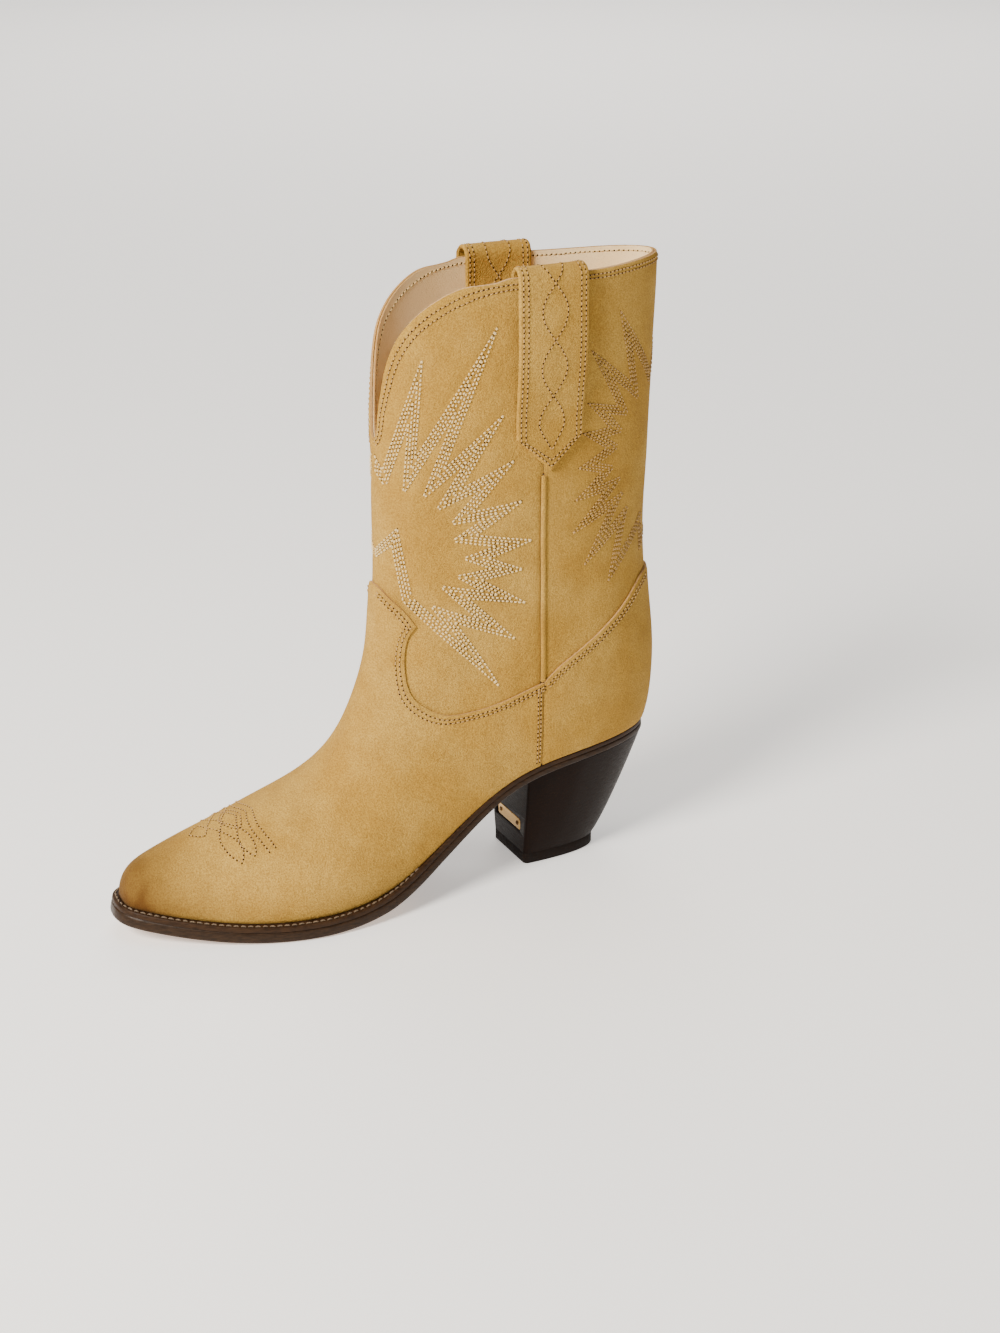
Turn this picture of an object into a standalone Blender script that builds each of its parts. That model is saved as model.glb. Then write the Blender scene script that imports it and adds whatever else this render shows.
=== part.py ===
"""Western (cowboy) boot for the right foot, built up like the real one.

Suede vamp, counter and two shaft panels over leather linings, with toe puff, heel
stiffener, side seam piping and pull straps; a welted leather sole with insole, cork
and steel shank; and an underslung stacked heel held by a screw and nails.

Toe points to -Y, the inner (medial) side is +X, +Z is up, and the boot stands on z = 0.
All working numbers are millimetres; MM turns them into metres when a mesh is made.
"""

import math

import bmesh
import bpy
import numpy as np
from mathutils import Matrix

MM = 0.001
GAP = 0.3                     # clearance kept between pieces that touch

# --- last and shaft shape ---------------------------------------------------------
# Cross-sections that fan from upright planes at the toe to level planes up the shaft:
# front y, front z, back y, back z, inner half width, outer half width, middle x,
# fullness of the lower half.
SECTIONS = (
    (-131.5, 9.0, -131.5, 9.0, 0.0, 0.0, 1.5, 0.00),
    (-133.6, 21.0, -131.5, 1.0, 6.5, 7.2, 1.5, 0.08),
    (-129.0, 31.8, -127.0, -4.0, 11.5, 13.0, 1.5, 0.12),
    (-115.0, 36.4, -115.0, -8.0, 19.3, 21.6, 1.7, 0.15),
    (-98.0, 41.0, -98.0, -12.0, 27.3, 31.5, 2.0, 0.17),
    (-78.0, 45.8, -78.0, -13.0, 35.3, 41.0, 2.3, 0.19),
    (-57.5, 51.0, -57.0, -12.0, 40.7, 48.0, 2.6, 0.20),
    (-42.0, 57.0, -29.0, -11.0, 41.5, 50.5, 3.0, 0.20),
    (-31.0, 67.0, 6.0, -4.0, 36.0, 44.5, 3.5, 0.18),
    (-23.5, 79.5, 42.0, 18.0, 30.3, 36.0, 4.0, 0.12),
    (-17.5, 94.0, 86.0, 36.0, 27.8, 31.5, 4.5, 0.10),
    (-13.2, 108.0, 123.0, 46.0, 28.6, 30.2, 5.0, 0.11),
    (-10.3, 121.0, 134.5, 67.0, 29.4, 30.2, 5.0, 0.08),
    (-8.3, 133.5, 136.8, 93.0, 29.6, 30.0, 5.0, 0.04),
    (-7.2, 146.0, 134.3, 122.0, 29.2, 29.4, 5.0, 0.02),
    (-6.6, 161.0, 131.5, 151.0, 29.0, 29.0, 5.0, 0.01),
    (-6.4, 185.0, 131.5, 184.0, 29.0, 29.0, 5.0, 0.00),
    (-6.4, 230.0, 134.0, 230.0, 29.3, 29.3, 5.0, 0.00),
    (-6.4, 300.0, 136.5, 300.0, 28.5, 28.5, 5.0, 0.00),
)
TOP = len(SECTIONS) - 1
RING = 24                     # facets round a section
ROWS = (0, 0.3, 0.7, 1.2, 1.8, 2.5, 3.2, 4.0, 4.8, 5.6, 6.4, 7.2, 8.0, 8.8, 9.6, 10.4,
        11.2, 12.0, 12.8, 13.6, 14.4, 15.2, 16.0, 16.6, 17.2, 17.6, 18.0)

# Feather line: side profile (y, z) where the upper meets the top of the welt.
FEATHER = (
    (-150, 20.2), (-133.5, 16.0), (-115, 12.6), (-98, 10.0), (-80, 8.6), (-60, 8.4),
    (-40, 9.0), (-22, 11.9), (-8, 17.6), (6, 25.8), (20, 34.9), (34, 44.2), (48, 51.8),
    (62, 56.8), (80, 60.0), (105, 62.2), (132, 63.6), (150, 64.6),
)

# --- side outlines of the upper's edges, (y, z) -----------------------------------
SEAM_Y = 65.0                 # side seam
JUNCTION = (SEAM_Y, 100.2)    # where vamp, counter and shaft meet
VAMP_TOP = (
    JUNCTION, (57.6, 98.1), (45.3, 94.0), (33.2, 91.0), (18.8, 89.8), (8.1, 94.8),
    (2.6, 102.2), (1.2, 114.0), (2.5, 127.0), (6.2, 133.6), (1.9, 140.2),
    (-3.4, 146.6), (-7.0, 152.0), (-14.0, 158.0),
)
COUNTER_TOP = (
    JUNCTION, (73.6, 107.2), (84.9, 113.7), (96.5, 120.3), (109.2, 128.4),
    (119.9, 137.0), (127.0, 141.0), (150.0, 143.0),
)
SHAFT_FRONT_FOOT = (
    (-30.0, 138.0), (-5.0, 134.0), (-5.5, 120.0), (-5.0, 104.0), (1.0, 90.0),
    (16.0, 81.5), (34.0, 82.5), (50.0, 86.0), (SEAM_Y, 91.5),
)
SHAFT_BACK_FOOT = (
    (SEAM_Y, 91.5), (73.0, 98.0), (85.0, 104.5), (97.0, 111.0), (109.0, 119.0),
    (120.0, 128.0), (127.0, 131.5), (150.0, 133.0),
)
LINING_SPLIT = ((-40.0, 100.0), (70.0, 80.0))
RIM_Z = 291.7
RIM_BACK = ((SEAM_Y, RIM_Z), (100.0, RIM_Z), (125.0, 292.8), (150.0, 294.0))
MIDDLE_X = 5.0                # middle plane of shaft and heel
FRONT_DIP = (                 # half outline of the scalloped front, (x from middle, z)
    (0.0, 219.5), (2.4, 222.5), (3.9, 231.4), (6.4, 243.0), (9.2, 255.5), (12.8, 266.6),
    (16.8, 275.4), (21.0, 283.2), (24.4, 288.6), (28.0, 291.9), (29.0, 310.0),
)

# --- layers of the upper: outer face offset from the surface, thickness ----------
OUTER = (1.6, 1.3)            # vamp and counter
MIDDLE = (0.0, 1.4)           # shaft panels, toe puff, heel stiffener
INNER = (-1.7, 1.0)           # linings
TOE_PUFF_END = -95.0

# --- pull straps and piping --------------------------------------------------------
STRAP_HALF = 17.0
STRAP_Y = 68.0
STRAP_THICK = 1.6
STRAP_CORNER_Z = 219.5
STRAP_POINT = 16.5
STRAP_TOP_Z = 296.9
PIPING_R = 1.0
PIPING_TOP = 201.0
PIPING_SLOT = 1.4

# --- sole, measured along the normal of the feather profile ----------------------
WELT_TOP, WELT_THICK = -GAP, 2.6
OUTSOLE_TOP = WELT_TOP - WELT_THICK - GAP
OUTSOLE_FORE, OUTSOLE_WAIST = 5.25, 3.0
MARGIN_INNER = ((-140, 4.4), (-120, 4.8), (-90, 5.4), (-50, 5.6), (-20, 4.6), (5, 2.6),
                (40, 1.5), (65, 1.2), (140, 1.0))
MARGIN_OUTER = ((-140, 4.4), (-120, 4.6), (-90, 4.6), (-50, 4.2), (-20, 3.8), (10, 3.2),
                (40, 2.0), (65, 1.2), (140, 1.0))
RING_INSIDE = 6.5             # welt and rand reach this far inside the feather line
BREAST_Y = 62.0
THREAD_R = 0.45
THREAD_INSET = 1.3            # from the welt's edge to the middle of its seam

# --- heel ----------------------------------------------------------------------------
LIFT_THICK = 5.5
BASE_HALF = 17.5
BASE_BACK = 105.0
SEAT_TUCK = 0.80              # breast end of the heel seat, as a share of the sole's width
BASE_MIDDLE_X = 3.6
PLATE = (24.0, 6.0, 1.0)      # brass plate: width, height, thickness
PLATE_Z = 19.0
SCREW_SPACING = 18.0


# ------------------------------------------------------------------ geometry helpers
def spline(points, t):
    """Uniform cubic B-spline through rows of numbers, read at t = 0 ... len - 1."""
    p = np.asarray(points, float)
    p = np.vstack([2 * p[0] - p[1], p, 2 * p[-1] - p[-2]])
    t = np.clip(np.asarray(t, float), 0.0, len(points) - 1.0)
    i = np.minimum(t.astype(int), len(points) - 2)
    u = (t - i)[..., None]
    return ((1 - u) ** 3 * p[i] + (3 * u ** 3 - 6 * u ** 2 + 4) * p[i + 1]
            + (-3 * u ** 3 + 3 * u ** 2 + 3 * u + 1) * p[i + 2] + u ** 3 * p[i + 3]) / 6


def skin(s, a):
    """Point of the upper at section s and angle a; 0 is the front, +1 and -1 the back."""
    s, a = np.broadcast_arrays(np.asarray(s, float), np.asarray(a, float))
    r = spline(SECTIONS, s)
    phi = np.abs(a) * np.pi
    q = (1 - np.cos(phi)) / 2
    half = np.where(a >= 0, r[..., 4], r[..., 5]) * np.sin(phi)
    half = half * (1 - r[..., 7] * np.cos(phi))
    return np.stack([r[..., 6] + np.sign(a) * half, r[..., 0] + q * (r[..., 2] - r[..., 0]),
                     r[..., 1] + q * (r[..., 3] - r[..., 1])], -1)


def skin_offset(s, a, d):
    """Point at distance d outside the upper's surface."""
    s, a = np.broadcast_arrays(np.asarray(s, float), np.asarray(a, float))
    e = 0.002
    along = skin(np.minimum(s + e, TOP), a) - skin(np.maximum(s - e, 0), a)
    wrap = np.where(a + e > 1, a + e - 2, a + e), np.where(a - e < -1, a - e + 2, a - e)
    n = np.cross(skin(s, wrap[0]) - skin(s, wrap[1]), along)
    size = np.linalg.norm(n, axis=-1, keepdims=True)
    n = np.where(size > 1e-9, n / np.maximum(size, 1e-9), (0.0, -1.0, 0.0))
    return skin(s, a) + n * np.asarray(d, float)[..., None]


FEATHER_CURVE = spline(FEATHER, np.linspace(0, len(FEATHER) - 1, 400))


def feather_z(y):
    return np.interp(y, FEATHER_CURVE[:, 0], FEATHER_CURVE[:, 1])


def root(fn, low, high):
    """Bisection: where fn turns from negative (low) to positive (high)."""
    for _ in range(40):
        mid = (low + high) / 2
        above = fn(mid) > 0
        low, high = np.where(above, low, mid), np.where(above, mid, high)
    return (low + high) / 2


def contour(side, n=200):
    """Feather line in plan, (x, y) from the toe tip to the back of the heel."""
    def low(a, s):
        p = skin(s, a * side)
        return feather_z(p[..., 1]) - p[..., 2]
    s = 0.05 + (np.linspace(0, 1, n) ** 1.6) * 10.5
    a = root(lambda a: low(a, s), np.zeros(n), np.full(n, 0.98))
    fore = skin(s, a * side)
    fore = fore[(fore[:, 1] < SEAM_Y - 2) & (np.abs(fore[:, 2] - feather_z(fore[:, 1])) < 0.1)]
    tip_s = root(lambda s: skin(s, 0.0)[..., 2] - feather_z(skin(s, 0.0)[..., 1]),
                 np.zeros(1), np.full(1, 2.0))
    b = np.linspace(0, 1, 60)

    def angle(s):
        r = spline(SECTIONS, s)
        seam = np.arccos(1 - 2 * (SEAM_Y - r[..., 0]) / (r[..., 2] - r[..., 0])) / np.pi
        return (seam + (1 - seam) * b) * side
    s = root(lambda s: -low(np.abs(angle(s)), s), np.full(60, 9.6), np.full(60, 14.0))
    rear = skin(s, angle(s))
    return np.vstack([skin(tip_s, np.zeros(1)), fore, rear])[:, :2]


def offset_contour(side, margins):
    """Feather line pushed outward in plan by a margin, a number or a (y, margin) list."""
    c = contour(side)
    t = np.gradient(c, axis=0)
    t /= np.linalg.norm(t, axis=1, keepdims=True) + 1e-12
    normal = np.stack([t[:, 1], -t[:, 0]], 1) * side
    normal[0], normal[-1] = (0, -1), (0, 1)
    if np.ndim(margins):
        table = np.array(margins, float)
        width = np.interp(c[:, 1], table[:, 0], table[:, 1])
    else:
        width = np.full(len(c), float(margins))
    return c + normal * width[:, None]


def sole_point(x, y, d):
    """Point at distance d above the feather profile, measured along its normal."""
    slope = feather_z(y + 0.5) - feather_z(y - 0.5)
    size = np.sqrt(1 + slope ** 2)
    return np.stack(np.broadcast_arrays(x, y - slope / size * d, feather_z(y) + d / size), -1)


def sole_z(d, y):
    """Height of the sole sheet at distance d over the plan position y."""
    line = np.linspace(-149, 149, 600)
    p = sole_point(0 * line, line, d)
    return np.interp(y, p[:, 1], p[:, 2])


# ------------------------------------------------------------------- Blender helpers
def clear_scene():
    for obj in list(bpy.data.objects):
        bpy.data.objects.remove(obj, do_unlink=True)
    for mesh in list(bpy.data.meshes):
        bpy.data.meshes.remove(mesh)


def make_collection(name):
    group = bpy.data.collections.new(name)
    bpy.context.scene.collection.children.link(group)
    return group


clear_scene()
PARTS = make_collection("cowboy_boot")
CUTTERS = make_collection("cutters")

LOOKS = {                     # colour, roughness, metallic
    "suede": ((0.55, 0.38, 0.19), 0.95, 0.0),
    "lining": ((0.72, 0.55, 0.38), 0.7, 0.0),
    "sole": ((0.05, 0.022, 0.012), 0.35, 0.0),
    "welt": ((0.045, 0.022, 0.014), 0.55, 0.0),
    "heel": ((0.022, 0.012, 0.008), 0.4, 0.0),
    "thread": ((0.30, 0.25, 0.20), 0.8, 0.0),
    "insole": ((0.55, 0.36, 0.20), 0.8, 0.0),
    "cork": ((0.42, 0.25, 0.12), 0.95, 0.0),
    "board": ((0.62, 0.55, 0.42), 0.9, 0.0),
    "steel": ((0.5, 0.5, 0.52), 0.35, 1.0),
    "brass": ((0.72, 0.49, 0.20), 0.35, 1.0),
    "rubber": ((0.02, 0.017, 0.015), 0.8, 0.0),
}


def material(name, look):
    colour, roughness, metallic = LOOKS[look]
    mat = bpy.data.materials.new(name + "_" + look)
    mat.use_nodes = True
    shader = mat.node_tree.nodes["Principled BSDF"]
    shader.inputs["Base Color"].default_value = (*colour, 1.0)
    shader.inputs["Roughness"].default_value = roughness
    shader.inputs["Metallic"].default_value = metallic
    return mat


def add_object(name, mesh, look=None, smooth=True):
    """Link a mesh as a part, or as a hidden cutter when it has no look."""
    obj = bpy.data.objects.new(name, mesh)
    if look:
        mesh.materials.append(material(name, look))
        PARTS.objects.link(obj)
        if smooth:
            mesh.shade_smooth()
            mesh.set_sharp_from_angle(angle=math.radians(40))
    else:
        CUTTERS.objects.link(obj)
        obj.hide_render = True
        obj.display_type = "WIRE"
    return obj


def grid_mesh(name, grid, closed=False):
    """Open quad surface through a (rows, columns, 3) grid; collapsed rows are merged."""
    rows, cols = grid.shape[:2]
    bm = bmesh.new()
    vs = [[bm.verts.new(p * MM) for p in row] for row in grid]
    for i in range(rows - 1):
        for j in range(cols if closed else cols - 1):
            k = (j + 1) % cols
            bm.faces.new((vs[i][j], vs[i][k], vs[i + 1][k], vs[i + 1][j]))
    bmesh.ops.remove_doubles(bm, verts=bm.verts, dist=0.00005)
    mesh = bpy.data.meshes.new(name)
    bm.to_mesh(mesh)
    bm.free()
    return mesh


def solidify(obj, thickness, offset):
    mod = obj.modifiers.new("Solidify", "SOLIDIFY")
    mod.thickness = thickness * MM
    mod.offset = offset
    return mod


def boolean(obj, cutter, operation):
    mod = obj.modifiers.new(operation.title(), "BOOLEAN")
    mod.operation = operation
    mod.solver = "EXACT"
    mod.object = cutter


SIDE_VIEW = Matrix(((0, 0, 1, 0), (1, 0, 0, 0), (0, 1, 0, 0), (0, 0, 0, 1)))
FRONT_VIEW = Matrix(((1, 0, 0, 0), (0, 0, -1, 0), (0, 1, 0, 0), (0, 0, 0, 1)))


def outline_mesh(name, outline, depth, view=None, centre=(0, 0, 0)):
    """Mesh of a flat outline, a 2D curve extruded by half the depth each way."""
    curve = bpy.data.curves.new(name, "CURVE")
    curve.dimensions = "2D"
    curve.fill_mode = "BOTH"
    curve.extrude = depth / 2 * MM
    line = curve.splines.new("POLY")
    line.points.add(len(outline) - 1)
    for point, (u, v) in zip(line.points, outline):
        point.co = (u * MM, v * MM, 0, 1)
    line.use_cyclic_u = True
    guide = bpy.data.objects.new(name, curve)
    bpy.context.scene.collection.objects.link(guide)
    evaluated = guide.evaluated_get(bpy.context.evaluated_depsgraph_get())
    mesh = bpy.data.meshes.new_from_object(evaluated)
    bpy.data.objects.remove(guide, do_unlink=True)
    bm = bmesh.new()
    bm.from_mesh(mesh)
    bmesh.ops.remove_doubles(bm, verts=bm.verts, dist=0.00001)
    bmesh.ops.recalc_face_normals(bm, faces=bm.faces)
    shift = Matrix.Translation([c * MM for c in centre])
    bmesh.ops.transform(bm, matrix=shift @ (view or Matrix()), verts=bm.verts)
    bm.to_mesh(mesh)
    bm.free()
    return mesh


def side_cutter(name, outline):
    return add_object("cut_" + name, outline_mesh("cut_" + name, outline, 200, SIDE_VIEW))


def cylinder_mesh(name, x, y, radius, low, high, sides=10):
    """Upright cylinder between two heights."""
    bm = bmesh.new()
    move = Matrix.Translation((x * MM, y * MM, (low + high) / 2 * MM))
    bmesh.ops.create_cone(bm, cap_ends=True, segments=sides, radius1=radius * MM,
                          radius2=radius * MM, depth=(high - low) * MM, matrix=move)
    mesh = bpy.data.meshes.new(name)
    bm.to_mesh(mesh)
    bm.free()
    return mesh


def tube(name, points, radius, look, resolution=1):
    """Cord of a given radius along a list of points in millimetres."""
    curve = bpy.data.curves.new(name, "CURVE")
    curve.dimensions = "3D"
    curve.bevel_depth = radius * MM
    curve.bevel_resolution = resolution
    curve.use_fill_caps = True
    line = curve.splines.new("POLY")
    line.points.add(len(points) - 1)
    for point, p in zip(line.points, points):
        point.co = (*(np.asarray(p) * MM), 1)
    curve.materials.append(material(name, look))
    PARTS.objects.link(bpy.data.objects.new(name, curve))


# ----------------------------------------------------------------------------- upper
def feather_run(y0, y1, lift=0.0):
    return [(y, float(feather_z(y)) + lift) for y in np.arange(y0, y1, 8.0)] + \
        [(y1, float(feather_z(y1)) + lift)]


def upper_piece(name, look, rows, layer, outline, offset=None):
    """Closed ring of the upper, thickened inward and trimmed to a side outline."""
    rows = np.array([r for r in ROWS if rows[0] <= r <= rows[1]], float)
    angle = np.linspace(-1, 1, RING, endpoint=False)
    s, a = np.meshgrid(rows, angle, indexing="ij")
    d = np.full(s.shape, layer[0]) if offset is None else offset(s)
    mesh = grid_mesh(name, skin_offset(s, a, d), closed=True)
    obj = add_object(name, mesh, look)
    solidify(obj, layer[1], -1)
    boolean(obj, side_cutter(name, outline), "INTERSECT")
    return obj


def make_vamp():
    end = SEAM_Y - GAP / 2
    foot = feather_run(-150, end)
    edge = [(min(y, end), z) for y, z in VAMP_TOP]
    upper_piece("vamp", "suede", (0, 15.2), OUTER, foot + edge + [(-150, 158)])


def make_toe_puff():
    foot = feather_run(-150, TOE_PUFF_END, 0.4)
    upper_piece("toe_puff", "board", (0, 4.8), MIDDLE,
                foot + [(TOE_PUFF_END, 60), (-150, 60)])


def vamp_lining_offset(s):
    """The lining lies against the vamp except under the toe puff and the shaft."""
    rise = np.clip((s - 4.8) / 1.6, 0, 1) * np.clip((9.6 - s) / 1.6, 0, 1)
    return INNER[0] - INNER[0] * rise


def make_vamp_lining():
    end = SEAM_Y - GAP / 2
    foot = feather_run(-150, end)
    (y0, z0), (y1, z1) = LINING_SPLIT
    at_end = z0 + (end - y0) / (y1 - y0) * (z1 - z0)
    at_front = z0 + (-150 - y0) / (y1 - y0) * (z1 - z0)
    upper_piece("vamp_lining", "lining", (0, 13.6), INNER,
                foot + [(end, at_end), (-150, at_front)], vamp_lining_offset)


def make_counter():
    start = SEAM_Y + GAP / 2
    edge = [(max(y, start), z) for y, z in reversed(COUNTER_TOP)]
    upper_piece("counter", "suede", (8.8, 15.2), OUTER, feather_run(start, 150) + edge)


def make_counter_stiffener():
    start = SEAM_Y + 4
    edge = [(max(y, start), z - 4.5) for y, z in reversed(SHAFT_BACK_FOOT)]
    upper_piece("counter_stiffener", "board", (8.8, 15.2), MIDDLE,
                feather_run(start, 150, 0.4) + edge)


def seam_step(side):
    """Step in the side edge of a shaft panel where the piping ends."""
    slot, shut = SEAM_Y + side * PIPING_SLOT, SEAM_Y + side * GAP / 2
    return [(slot, PIPING_TOP + 0.6), (shut, PIPING_TOP + 0.6)]


def cut_front_dip(*objects):
    outline = [(-x, z) for x, z in reversed(FRONT_DIP[1:])] + list(FRONT_DIP)
    mesh = outline_mesh("cut_front_dip", outline, 90, FRONT_VIEW, (MIDDLE_X, 10, 0))
    cutter = add_object("cut_front_dip", mesh)
    for obj in objects:
        boolean(obj, cutter, "DIFFERENCE")


def make_shaft():
    foot = [(min(y, SEAM_Y - PIPING_SLOT), z) for y, z in SHAFT_FRONT_FOOT]
    rim = [(SEAM_Y - GAP / 2, RIM_Z), (-30, RIM_Z)]
    front = upper_piece("shaft_front", "suede", (8.8, 18), MIDDLE,
                        foot + seam_step(-1) + rim)
    foot = [(max(y, SEAM_Y + PIPING_SLOT), z) for y, z in reversed(SHAFT_BACK_FOOT)]
    rim = [(max(y, SEAM_Y + GAP / 2), z) for y, z in RIM_BACK]
    upper_piece("shaft_back", "suede", (8.8, 18), MIDDLE, foot + seam_step(1) + rim)

    (y0, z0), (y1, z1) = LINING_SPLIT
    end = SEAM_Y - GAP / 2
    at_end = z0 + (end - y0) / (y1 - y0) * (z1 - z0) + GAP
    lining = upper_piece("shaft_lining_front", "lining", (8.8, 18), INNER,
                         [(y0, z0 + GAP), (end, at_end), (end, RIM_Z), (y0, RIM_Z)])
    start = SEAM_Y + GAP / 2
    rim = [(max(y, start), z) for y, z in reversed(RIM_BACK)]
    upper_piece("shaft_lining_back", "lining", (8.8, 18), INNER,
                feather_run(start, 150) + rim)
    cut_front_dip(front, lining)


def section_at(z, y):
    """Section number and angle of the shaft point at height z and side position y."""
    def place(s):
        r = spline(SECTIONS, s)
        q = (y - r[..., 0]) / (r[..., 2] - r[..., 0])
        return r, q
    def rise(s):
        r, q = place(s)
        return r[..., 1] + q * (r[..., 3] - r[..., 1]) - z
    s = root(rise, np.full(np.shape(z), 10.0), np.full(np.shape(z), float(TOP)))
    q = np.clip(place(s)[1], 0, 1)
    return s, np.arccos(1 - 2 * q) / np.pi


def make_piping(side, name):
    z = np.linspace(JUNCTION[1] + 0.6, PIPING_TOP, 10)
    s, a = section_at(z, np.full(z.shape, SEAM_Y))
    points = skin_offset(s, a * side, np.full(z.shape, 0.1))
    tube(name, points, PIPING_R, "suede")


def strap_path():
    """(offset from the shaft, height) down the middle of a strap, outer end first."""
    outer, inner, crest = 4.6, -4.1, 291.0
    leg = [(1.15, STRAP_CORNER_Z), (1.15, 224), (1.5, 230), (2.8, 240), (4.1, 252),
           (outer, 264), (outer, 278), (outer, crest)]
    half, rise = (outer - inner) / 2, STRAP_TOP_Z - STRAP_THICK / 2 - crest
    arch = [((outer + inner) / 2 + half * math.cos(math.radians(t)),
             crest + rise * math.sin(math.radians(t))) for t in range(30, 180, 30)]
    return leg + arch + [(inner, crest), (inner, 272), (inner, 254)]


def make_strap(side, name):
    across = np.linspace(-1, 1, 7)
    rows = []
    for k, (d, z) in enumerate(strap_path()):
        drop = STRAP_POINT * (1 - np.abs(across)) if k == 0 else 0 * across
        high = np.minimum(z - drop, 299.0)
        s, a = section_at(high, STRAP_Y + STRAP_HALF * across)
        rows.append(skin_offset(s, a * side, np.full(a.shape, d)))
    grid = np.array(rows)
    mesh = grid_mesh(name, grid if side < 0 else grid[:, ::-1])
    obj = add_object(name, mesh, "suede")
    solidify(obj, STRAP_THICK, 0)


# ------------------------------------------------------------------------------ sole
def plan_rows(start, end, count):
    """Plan positions along the boot, closer together at the rounded ends."""
    even = np.linspace(0, 1, count)
    t = 0.55 * (1 - np.cos(np.pi * even)) / 2 + 0.45 * (even - 0.02 * np.sin(2 * np.pi * even))
    return start + (end - start) * t


def plate_grid(margins, d, start=None, end=None, count=34, columns=1):
    """Sheet between the inner and outer plan outlines at distance d from the feather."""
    inner, outer = offset_contour(1, margins[0]), offset_contour(-1, margins[1])
    first = inner[0, 1] if start is None else start
    last = inner[-1, 1] if end is None else end
    y = plan_rows(first, last, count)
    x1, x0 = np.interp(y, inner[:, 1], inner[:, 0]), np.interp(y, outer[:, 1], outer[:, 0])
    mix = np.linspace(0, 1, columns + 1)
    x = x0[:, None] * (1 - mix) + x1[:, None] * mix
    return sole_point(x, np.repeat(y[:, None], columns + 1, 1), d)


def plate(name, look, margins, d_top, thickness, **span):
    obj = add_object(name, grid_mesh(name, plate_grid(margins, d_top, **span)), look)
    solidify(obj, thickness, -1)
    return obj


def ring_strip(name, look, low, high):
    """Strip that follows the feather line, from its inner side round to its outer side."""
    sides = []
    for side, margins in ((1, MARGIN_INNER), (-1, MARGIN_OUTER)):
        edge, inside = offset_contour(side, margins), offset_contour(side, -RING_INSIDE)
        line = contour(side)
        length = np.r_[0, np.cumsum(np.linalg.norm(np.diff(line, axis=0), axis=1))]
        keep = (line[:, 1] >= low) & (line[:, 1] <= high)
        at = np.linspace(length[keep][0], length[keep][-1],
                         max(6, int((length[keep][-1] - length[keep][0]) / 7)))
        pick = [np.interp(at, length, c) for c in (*edge.T, *inside.T)]
        sides.append(np.stack(pick, 1))
    if low < -130:
        loop = np.vstack([sides[0][::-1], sides[1][1:]])
    else:
        loop = np.vstack([sides[0], sides[1][::-1][1:]])
    rows = np.stack([sole_point(loop[:, 0], loop[:, 1], WELT_TOP),
                     sole_point(loop[:, 2], loop[:, 3], WELT_TOP)], 1)
    if low >= -130:
        rows = rows[:, ::-1]
    obj = add_object(name, grid_mesh(name, rows), look)
    solidify(obj, WELT_THICK, -1)
    return obj


def make_outsole():
    grid = plate_grid((MARGIN_INNER, MARGIN_OUTER), OUTSOLE_TOP, count=44)
    mesh = grid_mesh("outsole", grid)
    obj = add_object("outsole", mesh, "sole")
    mod = solidify(obj, OUTSOLE_FORE, -1)
    group = obj.vertex_groups.new(name="thickness")
    for v in mesh.vertices:
        thin = np.clip((v.co.y / MM + 22) / 65, 0, 1)
        ratio = 1 + thin * (OUTSOLE_WAIST / OUTSOLE_FORE - 1)
        group.add([v.index], float(ratio), "REPLACE")
    mod.vertex_group = "thickness"
    return obj


def make_bottom():
    outsole = make_outsole()
    ring_strip("welt", "welt", -140, BREAST_Y - 2)
    ring_strip("heel_rand", "sole", BREAST_Y - 1, 140)
    insole = plate("insole", "insole", (-4.9, -4.9), 2.6, 2.3)
    plate("sock_lining", "lining", (-5.5, -5.5), 3.8, 0.8)
    plate("cork_filler", "cork", (-7.0, -7.0), WELT_TOP - 0.2, 2.2, end=-10, count=14)
    shank = sole_point(np.repeat(MIDDLE_X - 0.5 + np.array([[-6.0, 0.0, 6.0]]), 14, 0),
                       np.repeat(np.linspace(-6, 86, 14)[:, None], 3, 1), -0.7)
    obj = add_object("shank", grid_mesh("shank", shank), "steel")
    solidify(obj, 1.6, -1)
    return outsole, insole


def make_welt_thread():
    """Thread of the welt seam, laid along the middle of the welt's visible margin."""
    halves = []
    for side, margins, last_y in ((1, MARGIN_INNER, -6), (-1, MARGIN_OUTER, 2)):
        path = offset_contour(side, [(y, m - THREAD_INSET) for y, m in margins])
        length = np.r_[0, np.cumsum(np.linalg.norm(np.diff(path, axis=0), axis=1))]
        stop = np.interp(last_y, path[:, 1], length)
        at = np.linspace(0, stop, 22)
        halves.append(np.stack([np.interp(at, length, c) for c in path.T], 1))
    loop = np.vstack([halves[0][::-1], halves[1][1:]])
    points = sole_point(loop[:, 0], loop[:, 1], WELT_TOP + GAP + THREAD_R)
    tube("welt_thread", points, THREAD_R, "thread", 0)


# ------------------------------------------------------------------------------ heel
HEEL_TOP = OUTSOLE_TOP - OUTSOLE_WAIST - GAP


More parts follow.
